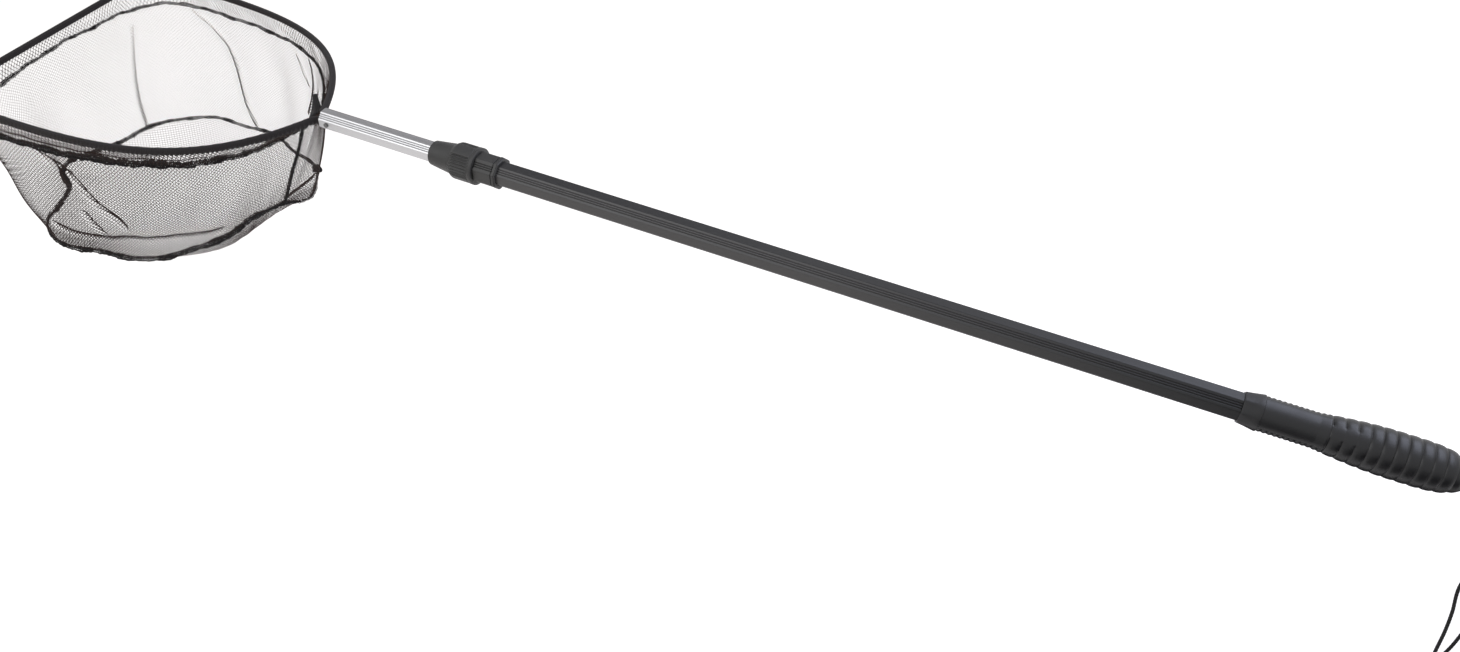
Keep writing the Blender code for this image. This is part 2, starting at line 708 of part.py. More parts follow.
def bag_outline(share):
    """The bag's outline at a share of the wall's height: it draws in at the rear, front and sides."""
    rim = mirrored(half_rim())
    drawn = share * math.sqrt(share)
    back = rim[:, 0].max()
    front = rim[:, 0].min()
    towards_back = (rim[:, 0] - front) / (back - front)
    x = rim[:, 0] + drawn * (FRONT_TAPER * (1 - towards_back) - REAR_TAPER * towards_back)
    y = rim[:, 1] * (1 - drawn * SIDE_TAPER / (NET_WIDTH / 2))
    return np.column_stack([x, y])


def make_hoop(frame):
    """The bent wire hoop with its two tails, cross-drilled for the rivet."""
    steel = finish("hoop_frame", (0.35, 0.35, 0.36), 0.35, 1.0)
    bend_centre = (-BEND_START, TAIL_SPREAD + BEND_RADIUS)
    bend = arc(bend_centre, BEND_RADIUS, -math.pi / 2, -math.pi / 2 - BEND_ANGLE, BEND_STEPS)
    tail = np.array([[TAIL_LENGTH, TAIL_SPREAD]])
    path = mirrored(np.vstack([tail, bend[:-1], half_rim()]))
    hoop = as_mesh(wire("hoop_frame", at_height(path, 0.0), WIRE_DIAMETER, frame, steel))
    reach = TAIL_SPREAD + WIRE_DIAMETER
    drill = ((RIVET_AT, -reach, 0), (RIVET_AT, reach, 0), "Y", frame, None)
    cut(hoop, cylinder("tail_drill", RIVET_DIAMETER / 2 + GAP, *drill, sides=10))


def make_yoke(frame):
    """The plug in the tube's mouth, bored for the tails, and the rivet across tube, plug and tails."""
    grey = finish("yoke_plug", (0.06, 0.06, 0.06), 0.5)
    body = [octagon(INNER_BORE - 2 * GAP)]
    plug = as_mesh(prism("yoke_plug", body, GAP, YOKE_PLUG_LENGTH, frame, grey))
    for name, side in (("far", 1), ("near", -1)):
        y = side * TAIL_SPREAD
        hole = ((-OVERSHOOT, y, 0), (TAIL_LENGTH + GAP, y, 0), "X", frame, None)
        cut(plug, cylinder(f"tail_hole_{name}", WIRE_DIAMETER / 2 + GAP, *hole, sides=12))
    reach = INNER_FLATS
    drill = ((RIVET_AT, -reach, 0), (RIVET_AT, reach, 0), "Y", frame, None)
    cut(plug, cylinder("plug_drill", RIVET_DIAMETER / 2 + GAP, *drill, sides=10))
    silver = finish("yoke_rivet", (0.5, 0.5, 0.5), 0.35, 1.0)
    seat = INNER_FLATS / 2 + GAP
    shank = seat + RIVET_HEAD_HEIGHT
    ends = ((RIVET_AT, -shank, 0), (RIVET_AT, shank, 0), "Y", frame, silver)
    rivet = cylinder("yoke_rivet", RIVET_DIAMETER / 2, *ends, sides=10)
    for name, side in (("far", 1), ("near", -1)):
        top = (RIVET_AT, side * (seat + RIVET_HEAD_HEIGHT), 0)
        head = (top, (RIVET_AT, side * seat, 0), "Y", frame, None)
        join(rivet, cylinder(f"rivet_head_{name}", RIVET_HEAD_DIAMETER / 2, *head))


def make_inner_tube(frame):
    """The silver tube, drilled for the rivet, and the bush that guides its hidden end."""
    silver = finish("inner_tube", (0.72, 0.72, 0.73), 0.3, 1.0)
    rear = INNER_REAR - MOUTH
    outlines = [fluted_octagon(INNER_FLATS), octagon(INNER_BORE)]
    tube = as_mesh(prism("inner_tube", outlines, 0, rear, frame, silver))
    reach = INNER_FLATS
    drill = ((RIVET_AT, -reach, 0), (RIVET_AT, reach, 0), "Y", frame, None)
    cut(tube, cylinder("tube_drill", RIVET_DIAMETER / 2 + GAP, *drill, sides=10))
    white = finish("guide_bush", (0.6, 0.6, 0.58), 0.5)
    body = [octagon(INNER_BORE - 2 * GAP)]
    bush = as_mesh(prism("guide_bush", body, rear - BUSH_PLUG, rear + OVERSHOOT, frame, white))
    flange = [octagon(OUTER_BORE - 2 * GAP)]
    flange_start = rear + GAP
    flange_end = flange_start + BUSH_FLANGE
    join(bush, as_mesh(prism("bush_flange", flange, flange_start, flange_end, frame, None)))


def make_rim(frame):
    """The sleeve round the hoop, the doubled band under it and the tape at the band's lower edge."""
    rim_black = finish("rim_sleeve", (0.025, 0.022, 0.022), 0.85)
    path = at_height(mirrored(half_rim()), 0.0)
    sleeve = wire("rim_sleeve", path, 2 * RIM_RADIUS, frame, rim_black)
    sleeve.data.use_fill_caps = False
    wall = sleeve.modifiers.new("Wall", "SOLIDIFY")
    wall.thickness = SLEEVE_WALL
    wall.offset = -1
    netting = finish("header_band", (0.03, 0.03, 0.03), 0.8)
    rim = mirrored(half_rim())
    edges = [offset(rim, NET_THICKNESS / 2), offset(rim, -NET_THICKNESS / 2)]
    band = place("header_band", outline_curve("header_band", edges, BAND_HEIGHT), frame, netting)
    band.location.z = (BAND_TOP + BAND_BOTTOM) / 2
    tape_black = finish("header_tape", (0.025, 0.023, 0.023), 0.85)
    wire("header_tape", at_height(rim, TAPE_Z), TAPE_DIAMETER, frame, tape_black, closed=True)


def bar_levels(rows, bar):
    """Shares where a panel's cross bars start and end: a bar at each edge and one between rows."""
    middles = np.arange(1, rows) / rows
    return np.sort(np.concatenate([[0, bar, 1 - bar, 1], middles - bar / 2, middles + bar / 2]))


def bar_places(outline, cells):
    """Places round an outline, as point numbers with fractions, and which of the spans after them are bars.

    The places are the outline's points and both edges of each bar. The bars stand at equal steps from the
    first point to the last, and the closing span is one too.
    """
    run = np.concatenate([[0], np.cumsum(np.linalg.norm(np.diff(outline, axis=0), axis=1))])
    middles = np.linspace(0, run[-1], cells + 1)
    edges = np.concatenate([middles[1:] - NET_BAR / 2, middles[:-1] + NET_BAR / 2])
    from_bar = np.abs(run[:, None] - middles).min(axis=1)
    points = run[from_bar > NET_BAR / 2]
    stops = np.sort(np.concatenate([[0, run[-1]], points, edges]))
    span_middles = (stops[:-1] + stops[1:]) / 2
    bars = np.abs(span_middles[:, None] - middles).min(axis=1) < NET_BAR / 2
    return np.interp(stops, run, np.arange(len(outline))), np.append(bars, True)


def at_places(outline, places):
    numbers = np.arange(len(outline))
    return np.column_stack([np.interp(places, numbers, axis) for axis in outline.T])


def net_panel(name, rings, bars, frame, material, middle=None):
    """A grid of bars on rings of points: every second row is open between bars. It has a wall.

    The last ring is closed to a middle point if one is given.
    """
    sides = len(bars)
    points = np.vstack(rings).tolist()
    quads = loft_faces(len(rings), sides)
    faces = [quad for k, quad in enumerate(quads) if k // sides % 2 == 0 or bars[k % sides]]
    if middle is not None:
        last = (len(rings) - 1) * sides
        faces += [(last + j, last + (j + 1) % sides, len(points)) for j in range(sides)]
        points.append(tuple(middle))
    mesh = bpy.data.meshes.new(name)
    mesh.from_pydata(points, [], faces)
    piece = place(name, mesh, frame, material)
    wall = piece.modifiers.new("Wall", "SOLIDIFY")
    wall.thickness = NET_THICKNESS
    wall.offset = 0
    return piece


def make_bag(frame):
    """The tapering netting wall, the sagging bottom panel and the piped seam between them."""
    netting = finish("bag_wall", (0.03, 0.03, 0.03), 0.8)
    places, bars = bar_places(bag_outline(0.0), WALL_CELLS)
    rings = []
    for share in bar_levels(WALL_ROWS, NET_BAR / WALL_HEIGHT):
        rings.append(at_height(at_places(bag_outline(share), places), WALL_TOP - share * WALL_HEIGHT))
    net_panel("bag_wall", rings, bars, frame, netting)
    seam_black = finish("bottom_seam", (0.022, 0.02, 0.02), 0.85)
    bottom = bag_outline(1.0)
    wire("bottom_seam", at_height(bottom, SEAM_Z), SEAM_DIAMETER, frame, seam_black, closed=True)
    floor = finish("bag_bottom", (0.03, 0.03, 0.03), 0.8)
    edge = offset(bottom, -SEAM_DIAMETER / 2 - GAP)
    middle = edge.mean(axis=0)
    places, bars = bar_places(edge, BOTTOM_CELLS)
    outline = at_places(edge, places)
    dish = []
    for share in BOTTOM_HUB_SHARE * bar_levels(BOTTOM_ROWS, BOTTOM_BAR_SHARE):
        sag = BOTTOM_SAG * math.sin(share * math.pi / 2)
        dish.append(at_height(outline + (middle - outline) * share, SEAM_Z - sag))
    net_panel("bag_bottom", dish, bars, frame, floor, (*middle, SEAM_Z - BOTTOM_SAG))
    seam = finish("wall_seam", (0.022, 0.02, 0.02), 0.85)
    wire("wall_seam", wall_seam_path(), WALL_SEAM_DIAMETER, frame, seam, sides=6)


def wall_seam_path():
    """The closing seam down the outside of the narrow rear of the wall, clear of the tape and piping."""
    shares = bar_levels(WALL_ROWS, NET_BAR / WALL_HEIGHT)
    x = np.array([bag_outline(f)[:, 0].max() for f in shares])
    z = WALL_TOP - shares * WALL_HEIGHT
    along = np.column_stack([np.gradient(x), np.gradient(z)])
    along /= np.linalg.norm(along, axis=1, keepdims=True)
    outward = np.column_stack([-along[:, 1], along[:, 0]])
    clear = NET_THICKNESS / 2 + GAP + WALL_SEAM_DIAMETER / 2
    y = WALL_SEAM_OFFSET * (2 * shares - 1)
    path = np.column_stack([x + clear * outward[:, 0], y, z + clear * outward[:, 1]])
    inset = (TAPE_DIAMETER + WALL_SEAM_DIAMETER) / 2
    path[0] += (path[1] - path[0]) * inset / np.linalg.norm(path[1] - path[0])
    path[-1] += (path[-2] - path[-1]) * inset / np.linalg.norm(path[-2] - path[-1])
    return path


def main():
    handle = frame_at("handle_frame", 0.0)
    grip = frame_at("grip_frame", GRIP_FRONT)
    grip.parent = handle
    lock = frame_at("lock_frame", NUT_FRONT)
    net = frame_at("net_frame", MOUTH)
    make_grip(grip)
    make_cord(grip)
    make_outer_tube(handle)
    make_lock_sleeve(handle)
    make_collet(lock)
    make_nut(lock)
    make_inner_tube(net)
    make_yoke(net)
    make_hoop(net)
    make_rim(net)
    make_bag(net)


main()
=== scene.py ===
"""Dresses the telescopic fish scoop net: netting bag, rim binding, tubes, twist lock, grip and wrist cord.

Lengths are in metres in the CAD's frame: the pole lies along X with the net at -X, and +Z is up out of the
net's mouth. Shapes are worked out as whole arrays and put into meshes.
"""

import math

import bpy
import numpy as np
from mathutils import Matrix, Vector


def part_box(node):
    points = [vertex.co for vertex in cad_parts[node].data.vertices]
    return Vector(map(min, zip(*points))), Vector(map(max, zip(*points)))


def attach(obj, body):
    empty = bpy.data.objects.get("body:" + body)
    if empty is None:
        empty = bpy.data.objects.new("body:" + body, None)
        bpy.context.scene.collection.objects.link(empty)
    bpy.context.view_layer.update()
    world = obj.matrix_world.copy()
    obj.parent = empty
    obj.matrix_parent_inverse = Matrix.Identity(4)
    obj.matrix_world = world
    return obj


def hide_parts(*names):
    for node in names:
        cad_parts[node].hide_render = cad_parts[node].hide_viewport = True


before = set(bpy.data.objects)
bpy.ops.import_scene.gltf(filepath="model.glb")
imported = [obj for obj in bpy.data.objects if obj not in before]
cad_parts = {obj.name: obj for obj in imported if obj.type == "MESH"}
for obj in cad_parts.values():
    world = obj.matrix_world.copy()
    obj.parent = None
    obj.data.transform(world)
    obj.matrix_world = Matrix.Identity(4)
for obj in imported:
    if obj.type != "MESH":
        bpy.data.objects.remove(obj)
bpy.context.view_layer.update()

TAU = 2 * math.pi
OCTANT = math.pi / 8

# Places that the CAD gives
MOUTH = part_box("inner_tube")[0].x
GRIP_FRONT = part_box("grip")[0].x
GRIP_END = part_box("grip")[1].x
NUT_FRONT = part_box("lock_nut")[0].x
SLEEVE_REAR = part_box("lock_sleeve")[1].x
OUTER_FLATS = 2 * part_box("outer_tube")[1].z
INNER_FLATS = 2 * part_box("inner_tube")[1].z

# Sizes that go with the part's source; the grooves are 0.2 mm deeper here, so that they show
OUTER_WALL = 0.0012
INNER_WALL = 0.0011
GROOVE_PITCH = 0.0021
GROOVE_WIDTH = 0.0009
GROOVE_DEPTH = 0.0006
CLEARANCE = 0.0003
TAIL_SPREAD = 0.0044
BEND_RADIUS = 0.0090
BEND_ANGLE = math.radians(68.0)
BEND_START = 0.0010
NET_LENGTH = 0.3570
NET_WIDTH = 0.2900
CORNER_RADIUS = 0.0620
SIDE_START = 0.2900
SHOULDER_REACH = 0.1250
SIDE_REACH = 0.1500
RIM_RADIUS = 0.00375
TAPE_Z = -0.02415
CORD_DIAMETER = 0.0030
CORD_SIDE = 0.0019
TIP_WALL = 0.0143


# Arrays and meshes


def unit(vectors):
    """Vectors divided by their lengths."""
    return vectors / np.linalg.norm(vectors, axis=-1, keepdims=True)


def lengths(points):
    """Arc length from the first point to each point of a line."""
    steps = np.linalg.norm(np.diff(points, axis=0), axis=1)
    return np.concatenate([[0.0], np.cumsum(steps)])


def spaced(points, count, closed=False):
    """A line laid out again with points at equal steps of arc length; a closed line leaves out its last."""
    if closed:
        points = np.vstack([points, points[:1]])
    run = lengths(points)
    at = np.linspace(0, run[-1], count, endpoint=not closed)
    return np.column_stack([np.interp(at, run, axis) for axis in points.T])


def smooth_line(knots, steps, closed=False):
    """The Catmull-Rom curve through knots: each span's cubic from its two knots and their neighbours."""
    if closed:
        ends = np.vstack([knots[-1:], knots, knots[:2]])
    else:
        ends = np.vstack([2 * knots[0] - knots[1], knots, 2 * knots[-1] - knots[-2]])
    a, b, c, d = (ends[k : len(ends) - 3 + k, None] for k in range(4))
    t = (np.arange(steps) / steps)[None, :, None]
    spans = 2 * b + (c - a) * t + (2 * a - 5 * b + 4 * c - d) * t**2 + (3 * b - a - 3 * c + d) * t**3
    line = spans.reshape(-1, knots.shape[1]) / 2
    return line if closed else np.vstack([line, knots[-1:]])


def bump(distance, width):
    """A bell curve of height one."""
    return np.exp(-((distance / width) ** 2))


def ramp(value, low, high):
    """A smooth step from 0 at low to 1 at high."""
    share = np.clip((value - low) / (high - low), 0, 1)
    return share * share * (3 - 2 * share)


def around(share, middle):
    """Signed distance between shares of a closed loop, from -0.5 to 0.5."""
    return (share - middle + 0.5) % 1.0 - 0.5


def bell(share, middle, width):
    """A bell curve of height one about a share of a closed loop."""
    return bump(around(share, middle), width)


def mesh_piece(name, points, faces, finish, uv=None, crease=None, mark=None):
    """A mesh from points and lists of equal-sided faces, with corner UVs and edges sharp past an angle.

    The mark is one number for each point, such as how deep it lies in a groove, which finishes can read.
    """
    mesh = bpy.data.meshes.new(name)
    corners = np.concatenate([f.ravel() for f in faces])
    sizes = np.concatenate([np.full(len(f), f.shape[1]) for f in faces])
    mesh.vertices.add(len(points))
    mesh.vertices.foreach_set("co", np.ascontiguousarray(points, np.float32).ravel())
    mesh.loops.add(len(corners))
    mesh.loops.foreach_set("vertex_index", corners.astype(np.int32))
    mesh.polygons.add(len(sizes))
    mesh.polygons.foreach_set("loop_start", (np.cumsum(sizes) - sizes).astype(np.int32))
    mesh.polygons.foreach_set("use_smooth", np.ones(len(sizes), bool))
    if uv is not None:
        mesh.uv_layers.new(name="lay").data.foreach_set("uv", uv.astype(np.float32).ravel())
    if mark is not None:
        carried = mesh.attributes.new("mark", "FLOAT", "POINT")
        carried.data.foreach_set("value", mark.astype(np.float32).ravel())
    mesh.update(calc_edges=True)
    mesh.validate()
    if crease:
        mesh.set_sharp_from_angle(angle=math.radians(crease))
    mesh.materials.append(finish.material)
    piece = bpy.data.objects.new(name, mesh)
    bpy.context.scene.collection.objects.link(piece)
    return piece


def settle(piece, node, body):
    """The solid that a piece is shown for, if there is one and the body that it rides."""
    if node:
        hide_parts(node)
    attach(piece, body)


def grid_faces(rows, columns, wrap_rows=False, wrap_columns=True):
    """Quads of a grid with point (i, j) numbered i * columns + j, and their corners' unwrapped (i, j)."""
    i, j = np.meshgrid(
        np.arange(rows if wrap_rows else rows - 1),
        np.arange(columns if wrap_columns else columns - 1),
        indexing="ij",
    )
    down = np.stack([i, i, i + 1, i + 1], axis=-1).reshape(-1, 4)
    across = np.stack([j, j + 1, j + 1, j], axis=-1).reshape(-1, 4)
    return down % rows * columns + across % columns, down, across


def grid_piece(
    name, points, finish, wrap_rows=False, wrap_columns=True, run=None, crease=None, capped=False, mark=None
):
    """Grids of points (rows, columns, 3), one or several, as a mesh.

    UV holds the run along the rows and the share around.
    """
    rows, columns = points.shape[-3:-1]
    starts = np.arange(points.size // (rows * columns * 3)) * rows * columns
    quads, down, across = grid_faces(rows, columns, wrap_rows, wrap_columns)
    faces = [(starts[:, None, None] + quads).reshape(-1, 4)]
    if run is None:
        run = np.arange(rows) / rows
    run = np.append(run, 2 * run[-1] - run[-2])
    uv = np.tile(np.stack([run[down], across / columns], axis=-1).reshape(-1, 2), (len(starts), 1))
    if capped:
        first = starts[:, None] + np.arange(columns)[::-1]
        last = starts[:, None] + (rows - 1) * columns + np.arange(columns)
        faces += [first, last]
        uv = np.vstack([uv, np.zeros((2 * first.size, 2))])
    return mesh_piece(name, points.reshape(-1, 3), faces, finish, uv, crease, mark)


def squared(path, upright, closed):
    """Normals and sides of a path: the upright direction made square to it, and the direction across both."""
    if closed:
        along = np.roll(path, -1, axis=0) - np.roll(path, 1, axis=0)
    else:
        along = np.gradient(path, axis=0)
    along = unit(along)
    normal = unit(upright - along * np.sum(along * upright, axis=1, keepdims=True))
    return normal, np.cross(along, normal)


def swept(path, radius, turn, upright, closed=False):
    """A round section carried along a path: centre + radius * (cos turn * normal + sin turn * side).

    The radius may be an array (along, around).
    """
    normal, side = squared(path, upright, closed)
    radius = np.broadcast_to(radius, (len(path), len(turn)))[..., None]
    spokes = np.cos(turn)[None, :, None] * normal[:, None] + np.sin(turn)[None, :, None] * side[:, None]
    return path[:, None] + radius * spokes


def turned(x, radius, turn):
    """Points round the pole at stations x: (x, radius cos turn, radius sin turn), radius (along, around)."""
    radius = np.broadcast_to(radius, (len(x), len(turn)))
    x = np.broadcast_to(np.asarray(x)[:, None], radius.shape)
    return np.stack([x, radius * np.cos(turn), radius * np.sin(turn)], axis=-1)


def turns(count):
    """The angles of one full turn in equal steps."""
    return np.arange(count) / count * TAU


# Shader maths


class Signal:
    """A node's output. Arithmetic with numbers and other signals adds Math nodes."""

    def __init__(self, socket):
        self.socket = socket

    def maths(self, operation, *terms):
        values = dict(enumerate(terms))
        node = add_node(self.socket.id_data, "ShaderNodeMath", {"operation": operation}, values)
        return Signal(node.outputs[0])

    def __add__(self, other):
        return self.maths("ADD", self, other)

    def __rsub__(self, other):
        return self.maths("SUBTRACT", other, self)

    def __mul__(self, other):
        return self.maths("MULTIPLY", self, other)

    def __gt__(self, other):
        return self.maths("GREATER_THAN", self, other)

    def sine(self):
        return self.maths("SINE", self)

    def most(self, other):
        return self.maths("MAXIMUM", self, other)


def add_node(tree, kind, settings, values):
    """One node of any kind: its settings first, then its sockets' values, or links where they are signals."""
    node = tree.nodes.new(kind)
    for name, value in settings.items():
        setattr(node, name, value)
    for name, value in values.items():
        if isinstance(value, Signal):
            tree.links.new(value.socket, node.inputs[name])
        else:
            node.inputs[name].default_value = value
    return node


class Finish:
    """A material that ends in one Principled shader, with constants on its own sockets."""

    def __init__(self, name, colour, roughness, **constants):
        self.material = bpy.data.materials.new(name)
        self.material.use_nodes = True
        self.tree = self.material.node_tree
        self.shader = self.tree.nodes["Principled BSDF"]
        self.colour = colour
        self.shader.inputs["Base Color"].default_value = (*colour, 1.0)
        self.shader.inputs["Roughness"].default_value = roughness
        for socket, value in constants.items():
            self.shader.inputs[socket.replace("_", " ")].default_value = value

    def node(self, kind, settings=None, **values):
        """A node of this material; underscores in socket names stand for spaces."""
        spelled = {name.replace("_", " "): value for name, value in values.items()}
        return add_node(self.tree, kind, settings or {}, spelled)

    def place(self, stretch=(1, 1, 1)):
        """Object coordinates, stretched."""
        where = Signal(self.node("ShaderNodeTexCoord").outputs["Object"])
        moved = self.node("ShaderNodeMapping", Vector=where, Scale=stretch)
        return Signal(moved.outputs["Vector"])

    def along_pole(self):
        """The X and Z coordinates."""
        parts = self.node("ShaderNodeSeparateXYZ", Vector=self.place())
        return Signal(parts.outputs["X"]), Signal(parts.outputs["Z"])

    def lay(self):
        """The run along a piece in metres and the share round it, from its own UV map."""
        where = Signal(self.node("ShaderNodeUVMap", {"uv_map": "lay"}).outputs["UV"])
        parts = self.node("ShaderNodeSeparateXYZ", Vector=where)
        return Signal(parts.outputs["X"]), Signal(parts.outputs["Y"])

    def noise(self, where, scale, detail):
        """Clouds from 0 to 1."""
        cloud = self.node("ShaderNodeTexNoise", Vector=where, Scale=scale, Detail=detail, Roughness=0.55)
        return Signal(cloud.outputs["Fac"])

    def mark(self):
        """The number that each point of a piece carries."""
        return Signal(self.node("ShaderNodeAttribute", {"attribute_name": "mark"}).outputs["Fac"])

    def tint(self, *layers):
        """Base colour: this finish's own colour with each layer's colour laid over it by its share."""
        colour = (*self.colour, 1.0)
        for share, other in layers:
            values = {0: share, 6: colour, 7: (*other, 1.0)}
            blend = add_node(self.tree, "ShaderNodeMix", {"data_type": "RGBA"}, values)
            colour = Signal(blend.outputs[2])
        self.tree.links.new(colour.socket, self.shader.inputs["Base Color"])

    def rough(self, signal):
        self.tree.links.new(signal.socket, self.shader.inputs["Roughness"])

    def relief(self, height, distance):
        """A bump of the given height in metres under the shader's normal."""
        lifted = self.node("ShaderNodeBump", Height=height, Distance=distance, Strength=1.0)
        self.tree.links.new(lifted.outputs["Normal"], self.shader.inputs["Normal"])


def silver_finish():
    """Drawn aluminium: fine lines along the pole, cloudy smudges, and duller grooves darkened with painted
    shade.
    """
    finish = Finish("drawn_silver", (0.44, 0.44, 0.45), 0.34, Metallic=1.0)
    lines = finish.noise(finish.place((3, 500, 500)), 1.0, 4.0)
    smudge = finish.noise(finish.place((14, 40, 40)), 1.0, 2.0)
    groove = finish.mark()
    # Painted shade: the groove mark darkens the colour in the grooves.
    finish.tint((lines * 0.6 + smudge * 0.4, (0.60, 0.60, 0.61)), (groove * 0.35, (0.16, 0.16, 0.17)))
    finish.rough(lines * 0.16 + smudge * 0.1 + groove * 0.2 + 0.25)
    finish.relief(lines, 0.00004)
    return finish


def black_tube_finish():
    """Black coat on drawn tube: deep black at the grip, greyed towards the lock by painted light, with
    painted shade keeping the top flat black and darkening the grooves.
    """
    finish = Finish("black_coat", (0.009, 0.0095, 0.011), 0.36, Specular_IOR_Level=0.3)
    lines = finish.noise(finish.place((3, 420, 420)), 1.0, 4.0)
    cloud = finish.noise(finish.place((9, 60, 60)), 1.0, 2.0)
    x, height = finish.along_pole()
    # Painted light: the coat greys towards the lock, standing in for the light that falls there.
    painted_light_toward_lock = (GRIP_FRONT - x) * (1.9 / (GRIP_FRONT - SLEEVE_REAR))
    # Painted shade: the top flat is kept near black.
    top = (height > OUTER_FLATS * 0.485) * 0.7
    # Painted shade: the groove mark darkens the colour in the grooves.
    groove = finish.mark()
    finish.tint(
        (painted_light_toward_lock, (0.105, 0.102, 0.102)),
        (lines * 0.25, (0.062, 0.061, 0.062)),
        (top, (0.012, 0.012, 0.013)),
        (groove * 0.4, (0.006, 0.006, 0.007)),
    )
    finish.rough(lines * 0.15 + cloud * 0.12 + groove * 0.2 + 0.24)
    finish.relief(lines, 0.00003)
    return finish


def moulded_finish(name, low, high, roughness, grain, gloss=0.3):
    """Moulded plastic: spark-eroded grain in the relief, a slow cloud in colour and gloss, and painted shade
    darkening the valleys.
    """
    finish = Finish(name, low, roughness, Specular_IOR_Level=gloss)
    pits = finish.noise(finish.place(), 1600.0, 2.0)
    cloud = finish.noise(finish.place(), 45.0, 3.0)
    valley = finish.mark()
    # Painted shade: the valley mark darkens the colour in grooves and rib valleys.
    finish.tint((pits * 0.5 + cloud * 0.5, high), (valley * 0.6, tuple(0.3 * part for part in low)))
    finish.rough(cloud * 0.2 + pits * 0.1 + (roughness - 0.15))
    finish.relief(pits, grain)
    return finish


def dull_metal(name, low, high, roughness):
    """Plain drawn metal with dull patches."""
    finish = Finish(name, low, roughness, Metallic=1.0)
    patches = finish.noise(finish.place((200, 200, 200)), 1.0, 3.0)
    finish.tint((patches, high))
    finish.rough(patches * 0.2 + (roughness - 0.12))
    return finish


def knit_finish(name, low, high, course, wales):
    """Knitted tape: courses along the run and wales round it, each stitch a raised V with a painted highlight
    on its top, over a random fuzz of lighter fibres.
    """
    finish = Finish(name, low, 0.9, Specular_IOR_Level=0.2, Sheen_Weight=0.12, Sheen_Roughness=0.5)
    run, share = finish.lay()
    slant = (share * (wales * TAU)).sine()
    stitch = (run * (TAU / course) + slant * 1.2).sine() * 0.5 + 0.5
    fuzz = finish.noise(finish.place(), 900.0, 3.0)
    # Painted highlight: the raised stitch tops are tinted lighter; the fuzz is lighter fibre at random.
    finish.tint((stitch * 0.5 + fuzz * 0.5, high))
    finish.rough(fuzz * 0.2 + 0.75)
    finish.relief(stitch * 0.7 + fuzz * 0.6, 0.0004)
    return finish


def thread_finish():
    """Black nylon thread, the same all along: its detail is the strands themselves."""
    gloss = {"Specular_IOR_Level": 0.12, "Sheen_Weight": 0.05, "Sheen_Roughness": 0.4}
    return Finish("net_thread", (0.040, 0.024, 0.020), 0.7, **gloss)


SILVER = silver_finish()
BLACK_TUBE = black_tube_finish()
GRIP_BLACK = moulded_finish("grip_moulding", (0.006, 0.006, 0.007), (0.012, 0.012, 0.014), 0.4, 0.00005, 0.4)
LOCK_GREY = moulded_finish("lock_moulding", (0.034, 0.0335, 0.033), (0.051, 0.050, 0.049), 0.5, 0.00006, 0.45)
NATURAL = moulded_finish("natural_plastic", (0.52, 0.52, 0.49), (0.64, 0.64, 0.60), 0.55, 0.00004)
PLUG_BLACK = moulded_finish("plug_moulding", (0.030, 0.030, 0.031), (0.055, 0.055, 0.055), 0.6, 0.00006)
STEEL = dull_metal("hoop_steel", (0.30, 0.30, 0.31), (0.48, 0.48, 0.49), 0.40)
# The rivet is given a grey much darker than the tube's aluminium.
RIVET = dull_metal("dark_grey_rivet", (0.13, 0.13, 0.13), (0.22, 0.22, 0.22), 0.55)
RIM_KNIT = knit_finish("rim_knit", (0.018, 0.015, 0.015), (0.042, 0.037, 0.037), 0.0016, 14)
TAPE_KNIT = knit_finish("tape_knit", (0.014, 0.013, 0.013), (0.040, 0.036, 0.036), 0.0024, 5)
CORD_BRAID = knit_finish("cord_braid", (0.012, 0.012, 0.012), (0.030, 0.030, 0.031), 0.0014, 6)
THREAD = thread_finish()


# Wrist cord


def cord_route():
    """The wrist loop from inside the grip's tip, out, down and back, as in the part's source."""
    loop = [(-TIP_WALL, -CORD_SIDE, 0), (0, -CORD_SIDE, 0), (0.018, -0.003, -0.001), (0.0325, -0.005, -0.009)]
    loop += [(0.0395, -0.007, -0.028), (0.0405, -0.008, -0.066), (0.0411, -0.008, -0.108)]
    loop += [(0.0495, -0.008, -0.142), (0.055, -0.008, -0.169), (0.0598, -0.007, -0.198)]
    loop += [(0.067, 0.0, -0.224), (0.0737, 0.007, -0.210), (0.0745, 0.008, -0.184)]
    loop += [(0.0715, 0.008, -0.120), (0.0615, 0.007, -0.060), (0.0495, 0.005, -0.022)]
    loop += [(0.0345, 0.003, -0.005), (0.018, 0.002, 0), (0, CORD_SIDE, 0), (-TIP_WALL, CORD_SIDE, 0)]
    route = smooth_line(np.array(loop), 24)
    return route + [GRIP_END, 0, 0]


def make_cord():
    """The braided cord, with strands crossing both ways.

    Its radius is the plain radius * (0.96 + 0.06 sin(4 turn + wind) sin(4 turn - wind)).
    """
    route = spaced(cord_route(), 900)
    run = lengths(route)
    turn = turns(16)
    winding = 0.009
    wind = TAU * run[:, None] / winding
    braid = np.sin(4 * turn + wind) * np.sin(4 * turn - wind)
    radius = CORD_DIAMETER / 2 * (0.96 + 0.06 * braid)
    points = swept(route, radius, turn, np.array([0.0, 1.0, 0.0]))
    cord = grid_piece("wrist_loop", points, CORD_BRAID, run=run, capped=True)
    settle(cord, "wrist_cord", "handle")
    knot = make_knot()


